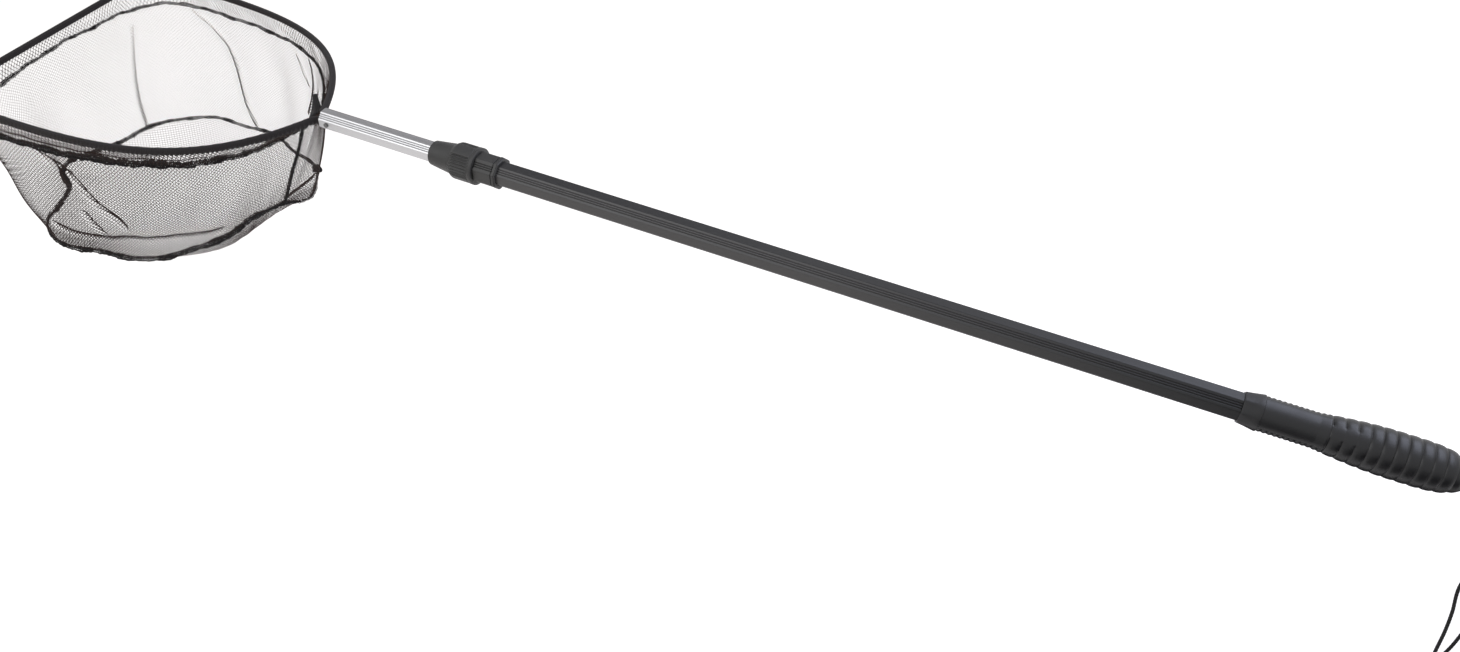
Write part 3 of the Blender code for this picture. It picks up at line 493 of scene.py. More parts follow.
def make_knot():
    """The stopper knot: a trefoil of the cord, (sin a + 2 sin 2a, cos a - 2 cos 2a, -sin 3a) to scale."""
    low, high = (np.array(corner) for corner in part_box("cord_knot"))
    a = turns(160)
    line = np.column_stack([-np.sin(3 * a), np.sin(a) + 2 * np.sin(2 * a), np.cos(a) - 2 * np.cos(2 * a)])
    widest, fill = 3, 0.72
    line *= (high - low).min() / 2 * fill / widest
    tilted = np.array([1.0, 0.02, 0.01])
    spokes = swept(line + (low + high) / 2, CORD_DIAMETER / 2 * 0.9, turns(12), tilted, True)
    knot = grid_piece("cord_stopper", spokes, CORD_BRAID, wrap_rows=True, run=np.arange(len(a)) * 0.0003)
    settle(knot, "cord_knot", "handle")
    return knot


# Pole tubes

SECTION_STEPS = 720
TUBE_EDGE = 0.00025


def octagonal(flats, turn, sharpness=80):
    """Radius of an eight-sided section with eased edges: the p-norm of the distances to its flats."""
    faces = np.arange(4)[:, None] * TAU / 8
    return flats / 2 / np.sum(np.abs(np.cos(turn - faces)) ** sharpness, axis=0) ** (1 / sharpness)


def grooves(flats, turn):
    """Depth share of three rounded grooves in each diagonal face, zero on the plain faces."""
    face = (turn + OCTANT) % (TAU / 8) - OCTANT
    diagonal = np.round((turn - face) / (TAU / 8)).astype(int) % 2 == 1
    across = flats / 2 * np.tan(face)
    return diagonal * sum(bump(across - k * GROOVE_PITCH, 0.45 * GROOVE_WIDTH) for k in (-1, 0, 1))


def fluted(flats, turn):
    """The eight-sided section with its grooves."""
    return octagonal(flats, turn) - GROOVE_DEPTH * grooves(flats, turn)


def make_tube(name, node, flats, wall, finish, body):
    """A drawn tube: the fluted section outside and a plain eight-sided bore, with broken end edges."""
    start, end = (corner.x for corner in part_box(node))
    turn = turns(SECTION_STEPS)
    outside = fluted(flats, turn)
    bore = octagonal(flats - 2 * wall, turn)
    body_stations = [start + TUBE_EDGE, *np.linspace(start + 0.01, end - 0.01, 8), end - TUBE_EDGE]
    stations = [start, *body_stations, end, end, start]
    broken = outside - TUBE_EDGE
    sections = [broken, *[outside] * len(body_stations), broken, bore, bore]
    # The groove depth becomes the mark that the finishes read for painted shade and rougher gloss in the
    # grooves.
    deep = grooves(flats, turn)
    mark = np.array([deep] * (len(body_stations) + 2) + [0 * deep] * 2)
    points = turned(stations, np.array(sections), turn)
    tube = grid_piece(name, points, finish, wrap_rows=True, crease=30, mark=mark)
    settle(tube, node, body)


# Grip

COLLAR_FRONT_FLATS = 0.0262
COLLAR_DIAMETER = 0.0313
COLLAR_LENGTH = 0.0160
COLLAR_EDGE = 0.0007
NECK_RADIUS = 0.0150
NECK_RIB_HEIGHT = 0.0006
NECK_RIBS = 12
NECK_PANEL_WIDTH = 0.0262
NECK_PANEL_RISE = 0.0002
NECK_PANEL_TURN = math.radians(135.0)
RISE_START = 0.0580
SWELL_RADIUS = 0.0196
SWELL_AT = 0.1180
RING_START = 0.0675
RING_PITCH = 0.0093
RING_COUNT = 10
RING_GROOVE = 0.00012
RING_CROWN = 0.0009
TONGUE_TURN = math.radians(128.0)
TONGUE_LENGTH = 0.0300
TONGUE_SHARE = 0.85
RING_GROOVE_HALF = 0.00036
TIP_OVERRUN = 0.0025
CORD_HOLE = 0.0039
KNOT_ROOM = 0.0070
KNOT_ROOM_LENGTH = 0.0116
RING_END = RING_START + RING_COUNT * RING_PITCH
GRIP_LENGTH = GRIP_END - GRIP_FRONT


def swell_radius(x):
    """The grip's envelope: a quarter sine from the neck up to the swell, then a blunt round end."""
    rise = np.clip((x - RISE_START) / (SWELL_AT - RISE_START), 0, 1)
    fall = np.clip((x - SWELL_AT) / (GRIP_LENGTH + TIP_OVERRUN - SWELL_AT), 0, 1)
    up = NECK_RADIUS + (SWELL_RADIUS - NECK_RADIUS) * np.sin(rise * math.pi / 2)
    return np.where(x < SWELL_AT, up, SWELL_RADIUS * np.sqrt(1 - fall**4))


def tongue(x, turn):
    """Share of the smooth tongue that carries the neck's panel on over the first rings."""
    beside = np.abs((turn - TONGUE_TURN + math.pi) % TAU - math.pi)
    return (1 - ramp(beside, 0.26, 0.42)) * (1 - ramp(x - RING_START, TONGUE_LENGTH - 0.01, TONGUE_LENGTH))


def grip_radius(x, turn):
    """Radius over (x, turn): flared collar, ribbed neck with two smooth panels, rings and tip."""
    x = x[:, None]
    envelope = swell_radius(x)
    rib = (RING_START - COLLAR_LENGTH) / NECK_RIBS
    ribs = 0.5 + 0.5 * np.cos((x - COLLAR_LENGTH) / rib * TAU)
    square = np.abs(np.sin(turn - NECK_PANEL_TURN)) * (NECK_RADIUS + NECK_PANEL_RISE)
    panel = 1 - ramp(square, NECK_PANEL_WIDTH / 2 - 0.0004, NECK_PANEL_WIDTH / 2 + 0.0003)
    panel = panel * (1 - ramp(x, RING_START - 0.0022, RING_START - 0.0008))
    neck = envelope - NECK_RIB_HEIGHT * ribs * (1 - panel) + NECK_PANEL_RISE * panel
    place = (x - RING_START) / RING_PITCH
    from_groove = np.abs(place - np.round(place)) * RING_PITCH
    sunk = RING_CROWN * (1 - 2 * from_groove / RING_PITCH) ** 3
    cut = sunk + RING_GROOVE * bump(from_groove, RING_GROOVE_HALF)
    rings = envelope - cut * (1 - TONGUE_SHARE * tongue(x, turn))
    body = np.where(x < RING_START - 0.0006, neck, rings)
    tip = envelope - RING_GROOVE * bump(x - RING_END, RING_GROOVE_HALF) * (x < RING_END + 0.003)
    tip = tip - RING_CROWN * (1 - ramp(x, RING_END, RING_END + RING_PITCH / 2))
    body = np.where(x > RING_END, tip, body)
    flare = np.clip((x - COLLAR_EDGE) / (COLLAR_LENGTH - 2 * COLLAR_EDGE), 0, 1)
    front = octagonal(COLLAR_FRONT_FLATS, turn, 40)
    collar = front + (COLLAR_DIAMETER / 2 - front) * flare
    collar = collar - COLLAR_EDGE * (1 - np.sqrt(1 - np.clip(1 - x / COLLAR_EDGE, 0, 1) ** 2))
    round_off = np.clip((x - COLLAR_LENGTH + COLLAR_EDGE) / COLLAR_EDGE, 0, 1)
    collar = collar - COLLAR_EDGE * (1 - np.sqrt(1 - round_off**2))
    return np.where(x <= COLLAR_LENGTH, collar, body)


def make_grip():
    """The grip's outside from collar to tip, run back along its bore, the knot's room and the cord hole."""
    turn = turns(144)
    quarter = np.linspace(0, 1.57, 5)
    front = COLLAR_EDGE * (1 - np.cos(quarter))
    back = COLLAR_LENGTH - COLLAR_EDGE * np.cos(quarter) ** 2
    collar = np.concatenate([front, [0.004, 0.008, 0.012], back])
    neck = np.linspace(COLLAR_LENGTH + 0.00004, RING_START - 0.0007, 130)
    step = np.linspace(-0.05, RING_COUNT, RING_COUNT * 20)
    rings = RING_START + RING_PITCH * (step - 0.6 * np.sin(TAU * step) / TAU)
    tip = RING_END + (GRIP_LENGTH - RING_END) * np.sin(np.linspace(0.04, math.pi / 2, 16))
    x = np.concatenate([collar, neck, rings, tip])
    outside = grip_radius(x, turn)
    bore = octagonal(OUTER_FLATS + 2 * CLEARANCE, turn)
    wall_end = GRIP_LENGTH - TIP_WALL
    bore_end = wall_end - KNOT_ROOM_LENGTH
    hole = np.full(len(turn), CORD_HOLE)
    room = np.full(len(turn), KNOT_ROOM)
    inside = [hole, hole, room, room, bore, bore]
    stations = np.concatenate([x, [GRIP_LENGTH, wall_end, wall_end, bore_end, bore_end, 0.0]])
    points = turned(stations + GRIP_FRONT, np.vstack([outside, inside]), turn)
    # The ring grooves' mark, less on the smooth tongue, is painted shade in the finish.
    place = (stations - RING_START) / RING_PITCH
    groove = bump(np.abs(place - np.round(place)) * RING_PITCH, RING_GROOVE_HALF)
    groove = groove * (stations > RING_START - 0.002)
    mark = 0.4 * groove[:, None] * (1 - TONGUE_SHARE * tongue(stations[:, None], turn))
    grip = grid_piece("grip_moulding", points, GRIP_BLACK, wrap_rows=True, crease=50, mark=mark)
    settle(grip, "grip", "handle")


# Twist lock

NUT_LENGTH = 0.0520
NUT_NOSE = 0.0123
NUT_SHOULDER = 0.0153
NUT_BAND = 0.0183
NUT_RIM = 0.0185
NUT_NOSE_LENGTH = 0.0240
NUT_SHOULDER_LENGTH = 0.0060
NUT_RIM_LENGTH = 0.0045
NUT_EDGE = 0.0006
NUT_ROLL = 0.0016
NUT_LIP = 0.0004
NUT_BORE = 0.01132
NUT_SEAT = 0.0119
NUT_RIB_DEPTH = 0.0010
SPIGOT_RADIUS = 0.0138
SPIGOT_BORE = 0.0129
SPIGOT_GAP = 0.0004
SEAT_RADIUS = 0.0122
SEAT_DEPTH = 0.0104
SLEEVE_SHOWN = 0.0245
SLEEVE_FLATS = 0.0292
FLANGE_FLATS = 0.0300
FLANGE_LENGTH = 0.0040
SLEEVE_EDGE = 0.0004
SLEEVE_GROOVE = 0.0006


def nut_ribs(turn):
    """Share of rib valley round the nut: eight rounded ribs in each of three panels, with smooth lands."""
    step = turn / TAU * 36
    in_panel = ramp(step % 12, 0.1, 0.5) * (1 - ramp(step % 12, 7.5, 7.9))
    return in_panel * (0.5 - 0.5 * np.cos(step * TAU)) ** 0.7


def make_nut():
    """The nut: a conical nose with a rolled edge, a sloping shoulder, the ribbed band and a raised rim.

    Each row holds a station, a radius and the share of the ribs' depth there: the outside, then the bores.
    """
    turn = turns(576)
    slope = (NUT_SHOULDER - NUT_NOSE) / (NUT_NOSE_LENGTH - NUT_ROLL)
    rows = []
    for a in np.linspace(0, math.pi / 2, 6):
        rows.append((NUT_ROLL * (1 - math.cos(a)), NUT_NOSE - NUT_ROLL * (1 - math.sin(a)), 0.0))
    for x in (0.006, 0.012, NUT_NOSE_LENGTH - 0.0002):
        rows.append((x, NUT_NOSE + slope * (x - NUT_ROLL), 0.0))
    shoulder = NUT_NOSE_LENGTH + NUT_EDGE
    lip = NUT_SHOULDER + NUT_LIP
    for share in (0.0, 0.25, 0.5, 0.75, 0.92):
        x = shoulder + (NUT_SHOULDER_LENGTH - NUT_EDGE) * share
        rows.append((x, lip + (NUT_BAND - lip) * math.sin(share * math.pi / 2), 0.2 + 0.8 * share))
    rim = NUT_LENGTH - NUT_RIM_LENGTH
    rows += [
        (NUT_NOSE_LENGTH + NUT_SHOULDER_LENGTH + 0.001, NUT_BAND, 1.0),
        (rim - 0.0018, NUT_BAND, 1.0),
        (rim - NUT_EDGE, NUT_BAND, 0.4),
        (rim, NUT_BAND - 0.0004, 0.0),
        (rim + 0.0002, NUT_RIM - 0.0003, 0.0),
        (rim + NUT_EDGE, NUT_RIM, 0.0),
        (NUT_LENGTH - NUT_EDGE, NUT_RIM, 0.0),
        (NUT_LENGTH - 0.0002, NUT_RIM - 0.00025, 0.0),
        (NUT_LENGTH, NUT_RIM - NUT_EDGE, 0.0),
        (NUT_LENGTH, SPIGOT_RADIUS + SPIGOT_GAP, 0.0),
        (0.0224, SPIGOT_RADIUS + SPIGOT_GAP, 0.0),
        (0.0224, SPIGOT_BORE, 0.0),
        (0.0157, SPIGOT_BORE, 0.0),
        (0.0137, NUT_SEAT, 0.0),
        (0.0137, NUT_BORE, 0.0),
        (0.0, NUT_BORE, 0.0),
    ]
    x, plain, depth = np.array(rows).T
    # The rib valleys' mark sinks the ribs and is painted shade in the finish.
    mark = depth[:, None] * nut_ribs(turn)
    points = turned(x + NUT_FRONT, plain[:, None] - NUT_RIB_DEPTH * mark, turn)
    nut = grid_piece("lock_nut_moulding", points, LOCK_GREY, wrap_rows=True, crease=40, mark=mark)
    settle(nut, "lock_nut", "lock_nut")


def make_sleeve():
    """The socket behind the nut: its spigot, fluted body, a groove and the end ring, bored for both tubes."""
    turn = turns(SECTION_STEPS)
    body = fluted(SLEEVE_FLATS, turn)
    ring = octagonal(FLANGE_FLATS, turn)
    whole = np.ones_like(turn)
    shoulder = SLEEVE_REAR - SLEEVE_SHOWN
    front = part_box("lock_sleeve")[0].x
    ring_start = SLEEVE_REAR - FLANGE_LENGTH
    edge = SLEEVE_EDGE
    hold = octagonal(OUTER_FLATS + 2 * CLEARANCE, turn)
    guide = octagonal(INNER_FLATS + 2 * SPIGOT_GAP, turn)
    rows = [
        (front, SPIGOT_BORE * whole),
        (front, SPIGOT_RADIUS * whole),
        (shoulder, SPIGOT_RADIUS * whole),
        (shoulder, body - edge),
        (shoulder + edge, body),
        (ring_start - 0.0012, body),
        (ring_start - 0.0009, body - SLEEVE_GROOVE),
        (ring_start - 0.0002, body - SLEEVE_GROOVE),
        (ring_start, ring - edge),
        (ring_start + edge, ring),
        (SLEEVE_REAR - 0.0016, ring),
        (SLEEVE_REAR - 0.0013, ring - edge),
        (SLEEVE_REAR - 0.0010, ring - edge),
        (SLEEVE_REAR - 0.0007, ring - edge / 2),
        (SLEEVE_REAR, ring - 0.0009),
        (SLEEVE_REAR, hold),
        (shoulder + CLEARANCE, hold),
        (shoulder + CLEARANCE, guide),
        (front + SEAT_DEPTH, guide),
        (front + SEAT_DEPTH, SEAT_RADIUS * whole),
    ]
    x, radius = zip(*rows)
    points = turned(np.array(x), np.array(radius), turn)
    # The mark is painted shade in the flutes, in the groove before the end ring and in the small groove in
    # the end ring.
    mark = np.zeros((len(rows), len(turn)))
    mark[3:6] = grooves(SLEEVE_FLATS, turn)
    mark[6:8] = 1.0
    mark[11:13] = 0.8
    sleeve = grid_piece("lock_sleeve_moulding", points, LOCK_GREY, wrap_rows=True, crease=30, mark=mark)
    settle(sleeve, "lock_sleeve", "handle")


# Net head


def half_rim(with_bend=False):
    """The far half of the hoop's centreline: the bend out of the tube, the shoulder's cubic, the corner."""
    angle = np.linspace(0, BEND_ANGLE, 14)[:, None]
    bend = np.hstack([-np.sin(angle), 1 - np.cos(angle)]) * BEND_RADIUS + [-BEND_START, TAIL_SPREAD]
    leaving = np.array([-math.cos(BEND_ANGLE), math.sin(BEND_ANGLE)])
    side = np.array([-SIDE_START, NET_WIDTH / 2])
    t = np.linspace(0, 1, 160)[:, None]
    a = bend[-1]
    b = a + SHOULDER_REACH * leaving
    c = side + [SIDE_REACH, 0]
    shoulder = a * (1 - t) ** 3 + 3 * b * t * (1 - t) ** 2 + 3 * c * t**2 * (1 - t) + side * t**3
    turn = np.linspace(math.pi / 2, math.pi, 60)[:, None]
    centre = np.array([-NET_LENGTH + CORNER_RADIUS, NET_WIDTH / 2 - CORNER_RADIUS])
    corner = centre + CORNER_RADIUS * np.hstack([np.cos(turn), np.sin(turn)])
    parts = [shoulder, corner]
    if with_bend:
        parts = [[[0.0, TAIL_SPREAD]], bend[:-1], *parts]
    return np.vstack(parts)


def in_frame(flat, height):
    """Outline points (x, y) from the tube's mouth as places in the row frame."""
    return np.column_stack([flat[:, 0] + MOUTH, flat[:, 1], np.broadcast_to(height, len(flat))])


LOOP_COUNT = 1600
SHARES = np.arange(LOOP_COUNT) / LOOP_COUNT


def rim_loop():
    """The rim's closed outline from the middle of the throat, round by the far side, at equal steps."""
    half = half_rim()
    throat = np.array([[half[0, 0], 0.0]])
    return spaced(np.vstack([throat, half, half[::-1] * [1, -1]]), LOOP_COUNT, closed=True)


def outward(loop):
    """Unit normals pointing out of a closed outline that runs by +Y first."""
    along = unit(np.roll(loop, -1, axis=0) - np.roll(loop, 1, axis=0))
    return np.column_stack([along[:, 1], -along[:, 0]])


RIM = rim_loop()
RIM_NORMAL = np.column_stack([outward(RIM), np.zeros(LOOP_COUNT)])


def tape_loop():
    """The header tape: under the rim, drawn in and up at the throat and drawn in on the near side."""
    let_out = (1 - 0.38 * bell(SHARES, 0.035, 0.05)) * (1 - 0.5 * bell(SHARES, 0.0, 0.03))
    drawn = 0.024 * bell(SHARES, 0.0, 0.12) * let_out + 0.0065 * bell(SHARES, 0.82, 0.075)
    flat = RIM - drawn[:, None] * outward(RIM)
    wave = 0.0007 * np.sin(SHARES * TAU * 17) + 0.0005 * np.sin(SHARES * TAU * 41 + 1)
    raised = 0.007 * bell(SHARES, 0.50, 0.065) + 0.016 * bell(SHARES, 0.0, 0.030)
    return in_frame(flat, TAPE_Z + raised + wave)


# The bottom seam's course as it hangs, in mm from the tube's mouth, from the rear round by the far side
SEAM_KNOTS = [
    (-120, 14, -177), (-112, 41, -177), (-103, 55, -175), (-101, 66, -168), (-103, 75, -158),
    (-105, 80, -152), (-126, 91, -152), (-152, 98, -152),
    (-195, 115, -152), (-239, 113, -152), (-283, 110, -152), (-315, 86, -152), (-336, 57, -153),
    (-345, 20, -155), (-358, -4, -156), (-372, -24, -158), (-363, -48, -159), (-338, -63, -160),
    (-326, -89, -162), (-317, -117, -164), (-290, -134, -166), (-264, -135, -168), (-235, -128, -168),
    (-198, -119, -170), (-159, -97, -171), (-127, -62, -172), (-120, -38, -173), (-121, -10, -175),
]  # fmt: skip


def seam_loop():
    """The bottom seam's closed course through its knots, at equal steps, with small puckers up and down."""
    line = smooth_line(np.array(SEAM_KNOTS) / 1000, 24, closed=True)
    a = SHARES * TAU
    pucker = 0.0006 * np.sin(a * 11) + 0.0004 * np.sin(a * 29) * np.sin(a * 17 + 2)
    return spaced(line, LOOP_COUNT, closed=True) + [MOUTH, 0, 0] + pucker[:, None] * [0, 0, 1]


TAPE = tape_loop()
SEAM = seam_loop()


def looped(loop, share):
    """Places on a closed loop at any shares of it."""
    ring = np.vstack([loop, loop[:1]])
    at = (share % 1.0) * LOOP_COUNT
    return np.stack([np.interp(at, np.arange(LOOP_COUNT + 1), axis) for axis in ring.T], axis=-1)


RIM_LENGTH = float(lengths(RIM)[-1])
WALL_DROP = 0.1400

# Creases of the wall: how deep and how wide each is, how much thicker its threads show, and the shares
# round and down that it runs through
WALL_CREASES = [
    (0.004, 0.0030, 0.00045, [(0.405, 0.14), (0.412, 0.49), (0.411, 0.75), (0.405, 0.97)]),
    (0.005, 0.0035, 0.00045, [(0.336, 0.03), (0.294, 0.27), (0.280, 0.45), (0.262, 0.76), (0.240, 0.96)]),
    (0.000, 0.0030, 0.00030, [(0.411, 0.62), (0.410, 0.76), (0.405, 0.93)]),
    (0.000, 0.0030, 0.00050, [(0.290, 0.30), (0.279, 0.44), (0.273, 0.60), (0.262, 0.75)]),
    (0.003, 0.0030, 0.00050, [(0.184, 0.09), (0.172, 0.21), (0.158, 0.30)]),
    (0.004, 0.0030, 0.00100, [(0.158, 0.04), (0.149, 0.12), (0.144, 0.24), (0.145, 0.37), (0.147, 0.55)]),
    (0.003, 0.0030, 0.00050, [(0.123, 0.25), (0.130, 0.36), (0.137, 0.48), (0.142, 0.58)]),
    (0.005, 0.0035, 0.00060, [(0.716, 0.05), (0.747, 0.20), (0.764, 0.35), (0.778, 0.50), (0.795, 0.64)]),
    (0.003, 0.0030, 0.00120, [(0.714, 0.03), (0.728, 0.10), (0.745, 0.19)]),
    (0.004, 0.0030, 0.00045, [(0.754, 0.54), (0.761, 0.67), (0.768, 0.77)]),
    (0.004, 0.0040, 0.00040, [(0.704, 0.78), (0.767, 0.82), (0.803, 0.75), (0.849, 0.75), (0.903, 0.73)]),
    (0.003, 0.0030, 0.00100, [(0.053, 0.74), (0.040, 0.78), (0.030, 0.81), (0.013, 0.84)]),
]


def crease_distance(course, share, fall):
    """Distance on the flat wall from places (share, fall) to a crease: the least to any part of its line."""
    size = np.array([RIM_LENGTH, WALL_DROP])
    at = np.stack([share % 1.0, fall], axis=-1) * size
    line = smooth_line(np.array(course), 5) * size
    least = np.full(np.shape(share), np.inf)
    for a, b in zip(line[:-1], line[1:]):
        along = np.clip((at - a) @ (b - a) / np.sum((b - a) ** 2), 0, 1)
        least = np.minimum(least, np.linalg.norm(at - a - along[..., None] * (b - a), axis=-1))
    return least


def wall_place(share, fall):
    """The hanging wall: from the tape to the seam, drawing in slowly at first, with creases and ripples."""
    top = looped(TAPE, share)
    foot = looped(SEAM, share)
    rear = bell(share, 0.04, 0.14)
    drawn = np.maximum(fall, 0) ** (1.35 - 0.35 * rear)
    place = top + (foot - top) * np.stack([drawn, drawn, fall], axis=-1)
    normal = looped(RIM_NORMAL, share)
    free = np.sin(np.pi * np.clip(fall, 0, 1))
    ripple = 0.0022 * np.sin(TAU * (13 * share + 0.8 * fall)) * (1 - bell(share, 0.02, 0.08))
    push = free * (0.004 + ripple)
    for depth, width, _, course in WALL_CREASES:
        push = push - depth * free**0.5 * bump(crease_distance(course, share, fall), width)
    return place + push[..., None] * normal


def strands(nodes, normals, radius, segments):
    """Threads of three sides along segments between nodes; each node has one ring of points.

    Point k of a ring is node + radius * (cos a normal + sin a side), a = k * 120 degrees.
    """
    along = np.zeros_like(nodes)
    step = unit(nodes[segments[:, 1]] - nodes[segments[:, 0]])
    np.add.at(along, segments[:, 0], step)
    np.add.at(along, segments[:, 1], step)
    used, numbers = np.unique(segments, return_inverse=True)
    numbers = numbers.reshape(-1, 2)
    along = unit(along[used])
    normal = normals[used]
    normal = unit(normal - along * np.sum(along * normal, axis=1, keepdims=True))
    side = np.cross(along, normal)
    a = turns(3)
    spokes = np.cos(a)[None, :, None] * normal[:, None] + np.sin(a)[None, :, None] * side[:, None]
    points = nodes[used][:, None] + radius[used][:, None, None] * spokes
    k = np.arange(3)[None]
    after = (k + 1) % 3
    first = numbers[:, :1] * 3
    last = numbers[:, 1:] * 3
    quads = np.stack([first + k, first + after, last + after, last + k], axis=-1)
    return points.reshape(-1, 3), quads.reshape(-1, 4)


def diamond_net(place, columns, rows, thickness):
    """Both lays of a diamond netting on a closed surface.

    Line i has its nodes k at share = (i +- k / 2) / columns and fall = k / rows. Gives the nodes, their
    normals, their threads' radius, the segments and each segment's share.
    """
    i, k = np.meshgrid(np.arange(columns), np.arange(rows + 1), indexing="ij")
    fall = k / rows
    parts = []
    for way in (0.5, -0.5):
        share = (i + way * k) / columns % 1.0
        at = place(share, fall)
        reach = 0.25 / columns
        across = place(share + reach, fall) - place(share - reach, fall)
        down = place(share, fall + 0.25 / rows) - place(share, fall - 0.25 / rows)
        normal = unit(np.cross(across, down))
        number = np.arange(i.size).reshape(i.shape)
        segments = np.stack([number[:, :-1], number[:, 1:]], axis=-1).reshape(-1, 2)
        parts.append((at, normal, thickness(share, fall), segments, share[:, :-1].ravel()))
    offset = i.size
    nodes = np.concatenate([p[0].reshape(-1, 3) for p in parts])
    normals = np.concatenate([p[1].reshape(-1, 3) for p in parts])
    radius = np.concatenate([p[2].ravel() for p in parts])
    segments = np.concatenate([parts[0][3], parts[1][3] + offset])
    return nodes, normals, radius, segments, np.concatenate([parts[0][4], parts[1][4]])


NET_PITCH = 0.00410
BAND_TOP = -0.0024
BOTTOM_THREAD = 0.00021


def wall_thickness(share, fall):
    """Thread radius: fine where the far wall is stretched, and heavier where the near wall hangs slack."""
    near = ramp(share % 1.0, 0.64, 0.74) * (1 - ramp(share % 1.0, 0.87, 1.01))
    under = bell(share, 0.74, 0.055) * ramp(fall, 0.76, 0.86)
    slack = bell(share, 0.94, 0.05) * np.clip(fall, 0, 1) ** 3
    lobe = bell(share, 0.04, 0.03) * ramp(fall, 0.78, 0.92)
    rear = bell(share, 0.03, 0.05)
    loose = 0.000150 + 0.000170 * near + 0.00002 * fall + 0.00006 * rear
    loose = loose + 0.00016 * slack + 0.00026 * lobe + 0.00013 * under
    folds = [heavy * bump(crease_distance(line, share, fall), 0.002) for _, _, heavy, line in WALL_CREASES]
    return loose + np.max(folds, axis=0) * (0.3 + 1.2 * np.clip(fall, 0, 1))


def cloth_area(place, start, end):
    """Area of a hung surface between two shares: the sum of its small parallelograms."""
    share, fall = np.meshgrid(np.linspace(start, end, 200), np.linspace(0, 1, 40), indexing="ij")
    at = place(share, fall)
    across = np.diff(at, axis=0)[:, :-1]
    down = np.diff(at, axis=1)[:-1]
    return float(np.linalg.norm(np.cross(across, down), axis=-1).sum())


def make_wall():
    """The netting wall in two halves, front and rear, on one run of threads."""
    columns = round(RIM_LENGTH / NET_PITCH)
    rows = round(WALL_DROP / NET_PITCH * 2)
    nodes, normals, radius, segments, share = diamond_net(wall_place, columns, rows, wall_thickness)
    front = np.abs(around(share, 0.5)) < 0.25
    for name, half in (("net_wall_front", front), ("net_wall_rear", ~front)):
        points, quads = strands(nodes, normals, radius, segments[half])
        wall = mesh_piece(name, points, [quads], THREAD)
        settle(wall, "bag_wall", "net_pole")
        middle = 0.5 if name == "net_wall_front" else 0.0
        area = cloth_area(wall_place, middle - 0.25, middle + 0.25)


def band_place(gap):
    """One layer of the header band, from the rim's side down to the tape, a gap from the band's middle."""
    top = in_frame(RIM + gap * outward(RIM), BAND_TOP)

    def place(share, fall):
        normal = looped(RIM_NORMAL, share)
        start = looped(top, share)
        end = looped(TAPE, share) + gap * 0.4 * normal
        ripple = 0.0006 * np.sin(TAU * (23 * share + fall)) * np.sin(np.pi * np.clip(fall, 0, 1))
        return start + (end - start) * fall[..., None] + ripple[..., None] * normal

    return place


def band_thickness(near_weight):
    """Thread radius of one layer: fine on the far side, other on the near side, bunched beside the throat."""

    def thickness(share, fall):
        near = bell(share, 0.78, 0.17)
        return 0.00016 + near_weight * near + 0.0007 * bell(share, 0.02, 0.035)

    return thickness


def draw_thread():
    """The thread that gathers the near half of the band, along its middle, thin at both ends."""
    share = np.linspace(0.56, 0.96, 700)
    nodes = band_place(0.0026)(share, np.full(len(share), 0.5))
    normals = looped(RIM_NORMAL, share)
    radius = 0.0001 + 0.0006 * np.sin(np.linspace(0, math.pi, len(share)))
    number = np.arange(len(share))
    return nodes, normals, radius, np.column_stack([number[:-1], number[1:]])


def make_header():
    """The doubled netting between rim and tape: an outer and an inner layer of threads."""
    columns, rows = round(RIM_LENGTH / NET_PITCH), 6
    nets = [draw_thread()]
    area = 0.0
    for gap, near_weight in ((0.0022, 0.00031), (-0.0022, -0.00002)):
        surface = band_place(gap)
        nets.append(diamond_net(surface, columns, rows, band_thickness(near_weight))[:4])
        area += cloth_area(surface, 0, 1)
    points = []
    quads = []
    for net in nets:
        layer, faces = strands(*net)
        quads.append(faces + sum(len(p) for p in points))
        points.append(layer)
    band = mesh_piece("header_net", np.vstack(points), [np.vstack(quads)], THREAD)
    settle(band, "header_band", "net_pole")


def within(points, outline):
    """Which points lie in a closed outline: an odd count of its edges crosses the ray towards +X."""
    after = np.roll(outline, -1, axis=0)
    y = points[:, 1:]
    spans = (outline[:, 1] > y) != (after[:, 1] > y)
    step_x, step_y = (after - outline).T
    slope = step_x / np.where(step_y == 0, 1, step_y)
    cross = outline[:, 0] + (y - outline[:, 1]) * slope
    return np.sum(spans & (points[:, :1] < cross), axis=1) % 2 == 1


def bottom_lines(way):
    """One lay of the bottom's threads: lattice points on slanted lines, and their pairs of neighbours."""
    low, high = SEAM[:, :2].min(axis=0), SEAM[:, :2].max(axis=0)
    across, deep = np.ceil((high - low) / NET_PITCH).astype(int) + 2
    line, step = np.meshgrid(np.arange(-deep, across + deep), np.arange(2 * deep + 1), indexing="ij")
    flat = np.stack([line + way * step, step / 2], axis=-1) * NET_PITCH + low
    number = np.arange(line.size).reshape(line.shape)
    pairs = np.stack([number[:, :-1], number[:, 1:]], axis=-1).reshape(-1, 2)
    return flat.reshape(-1, 2), pairs


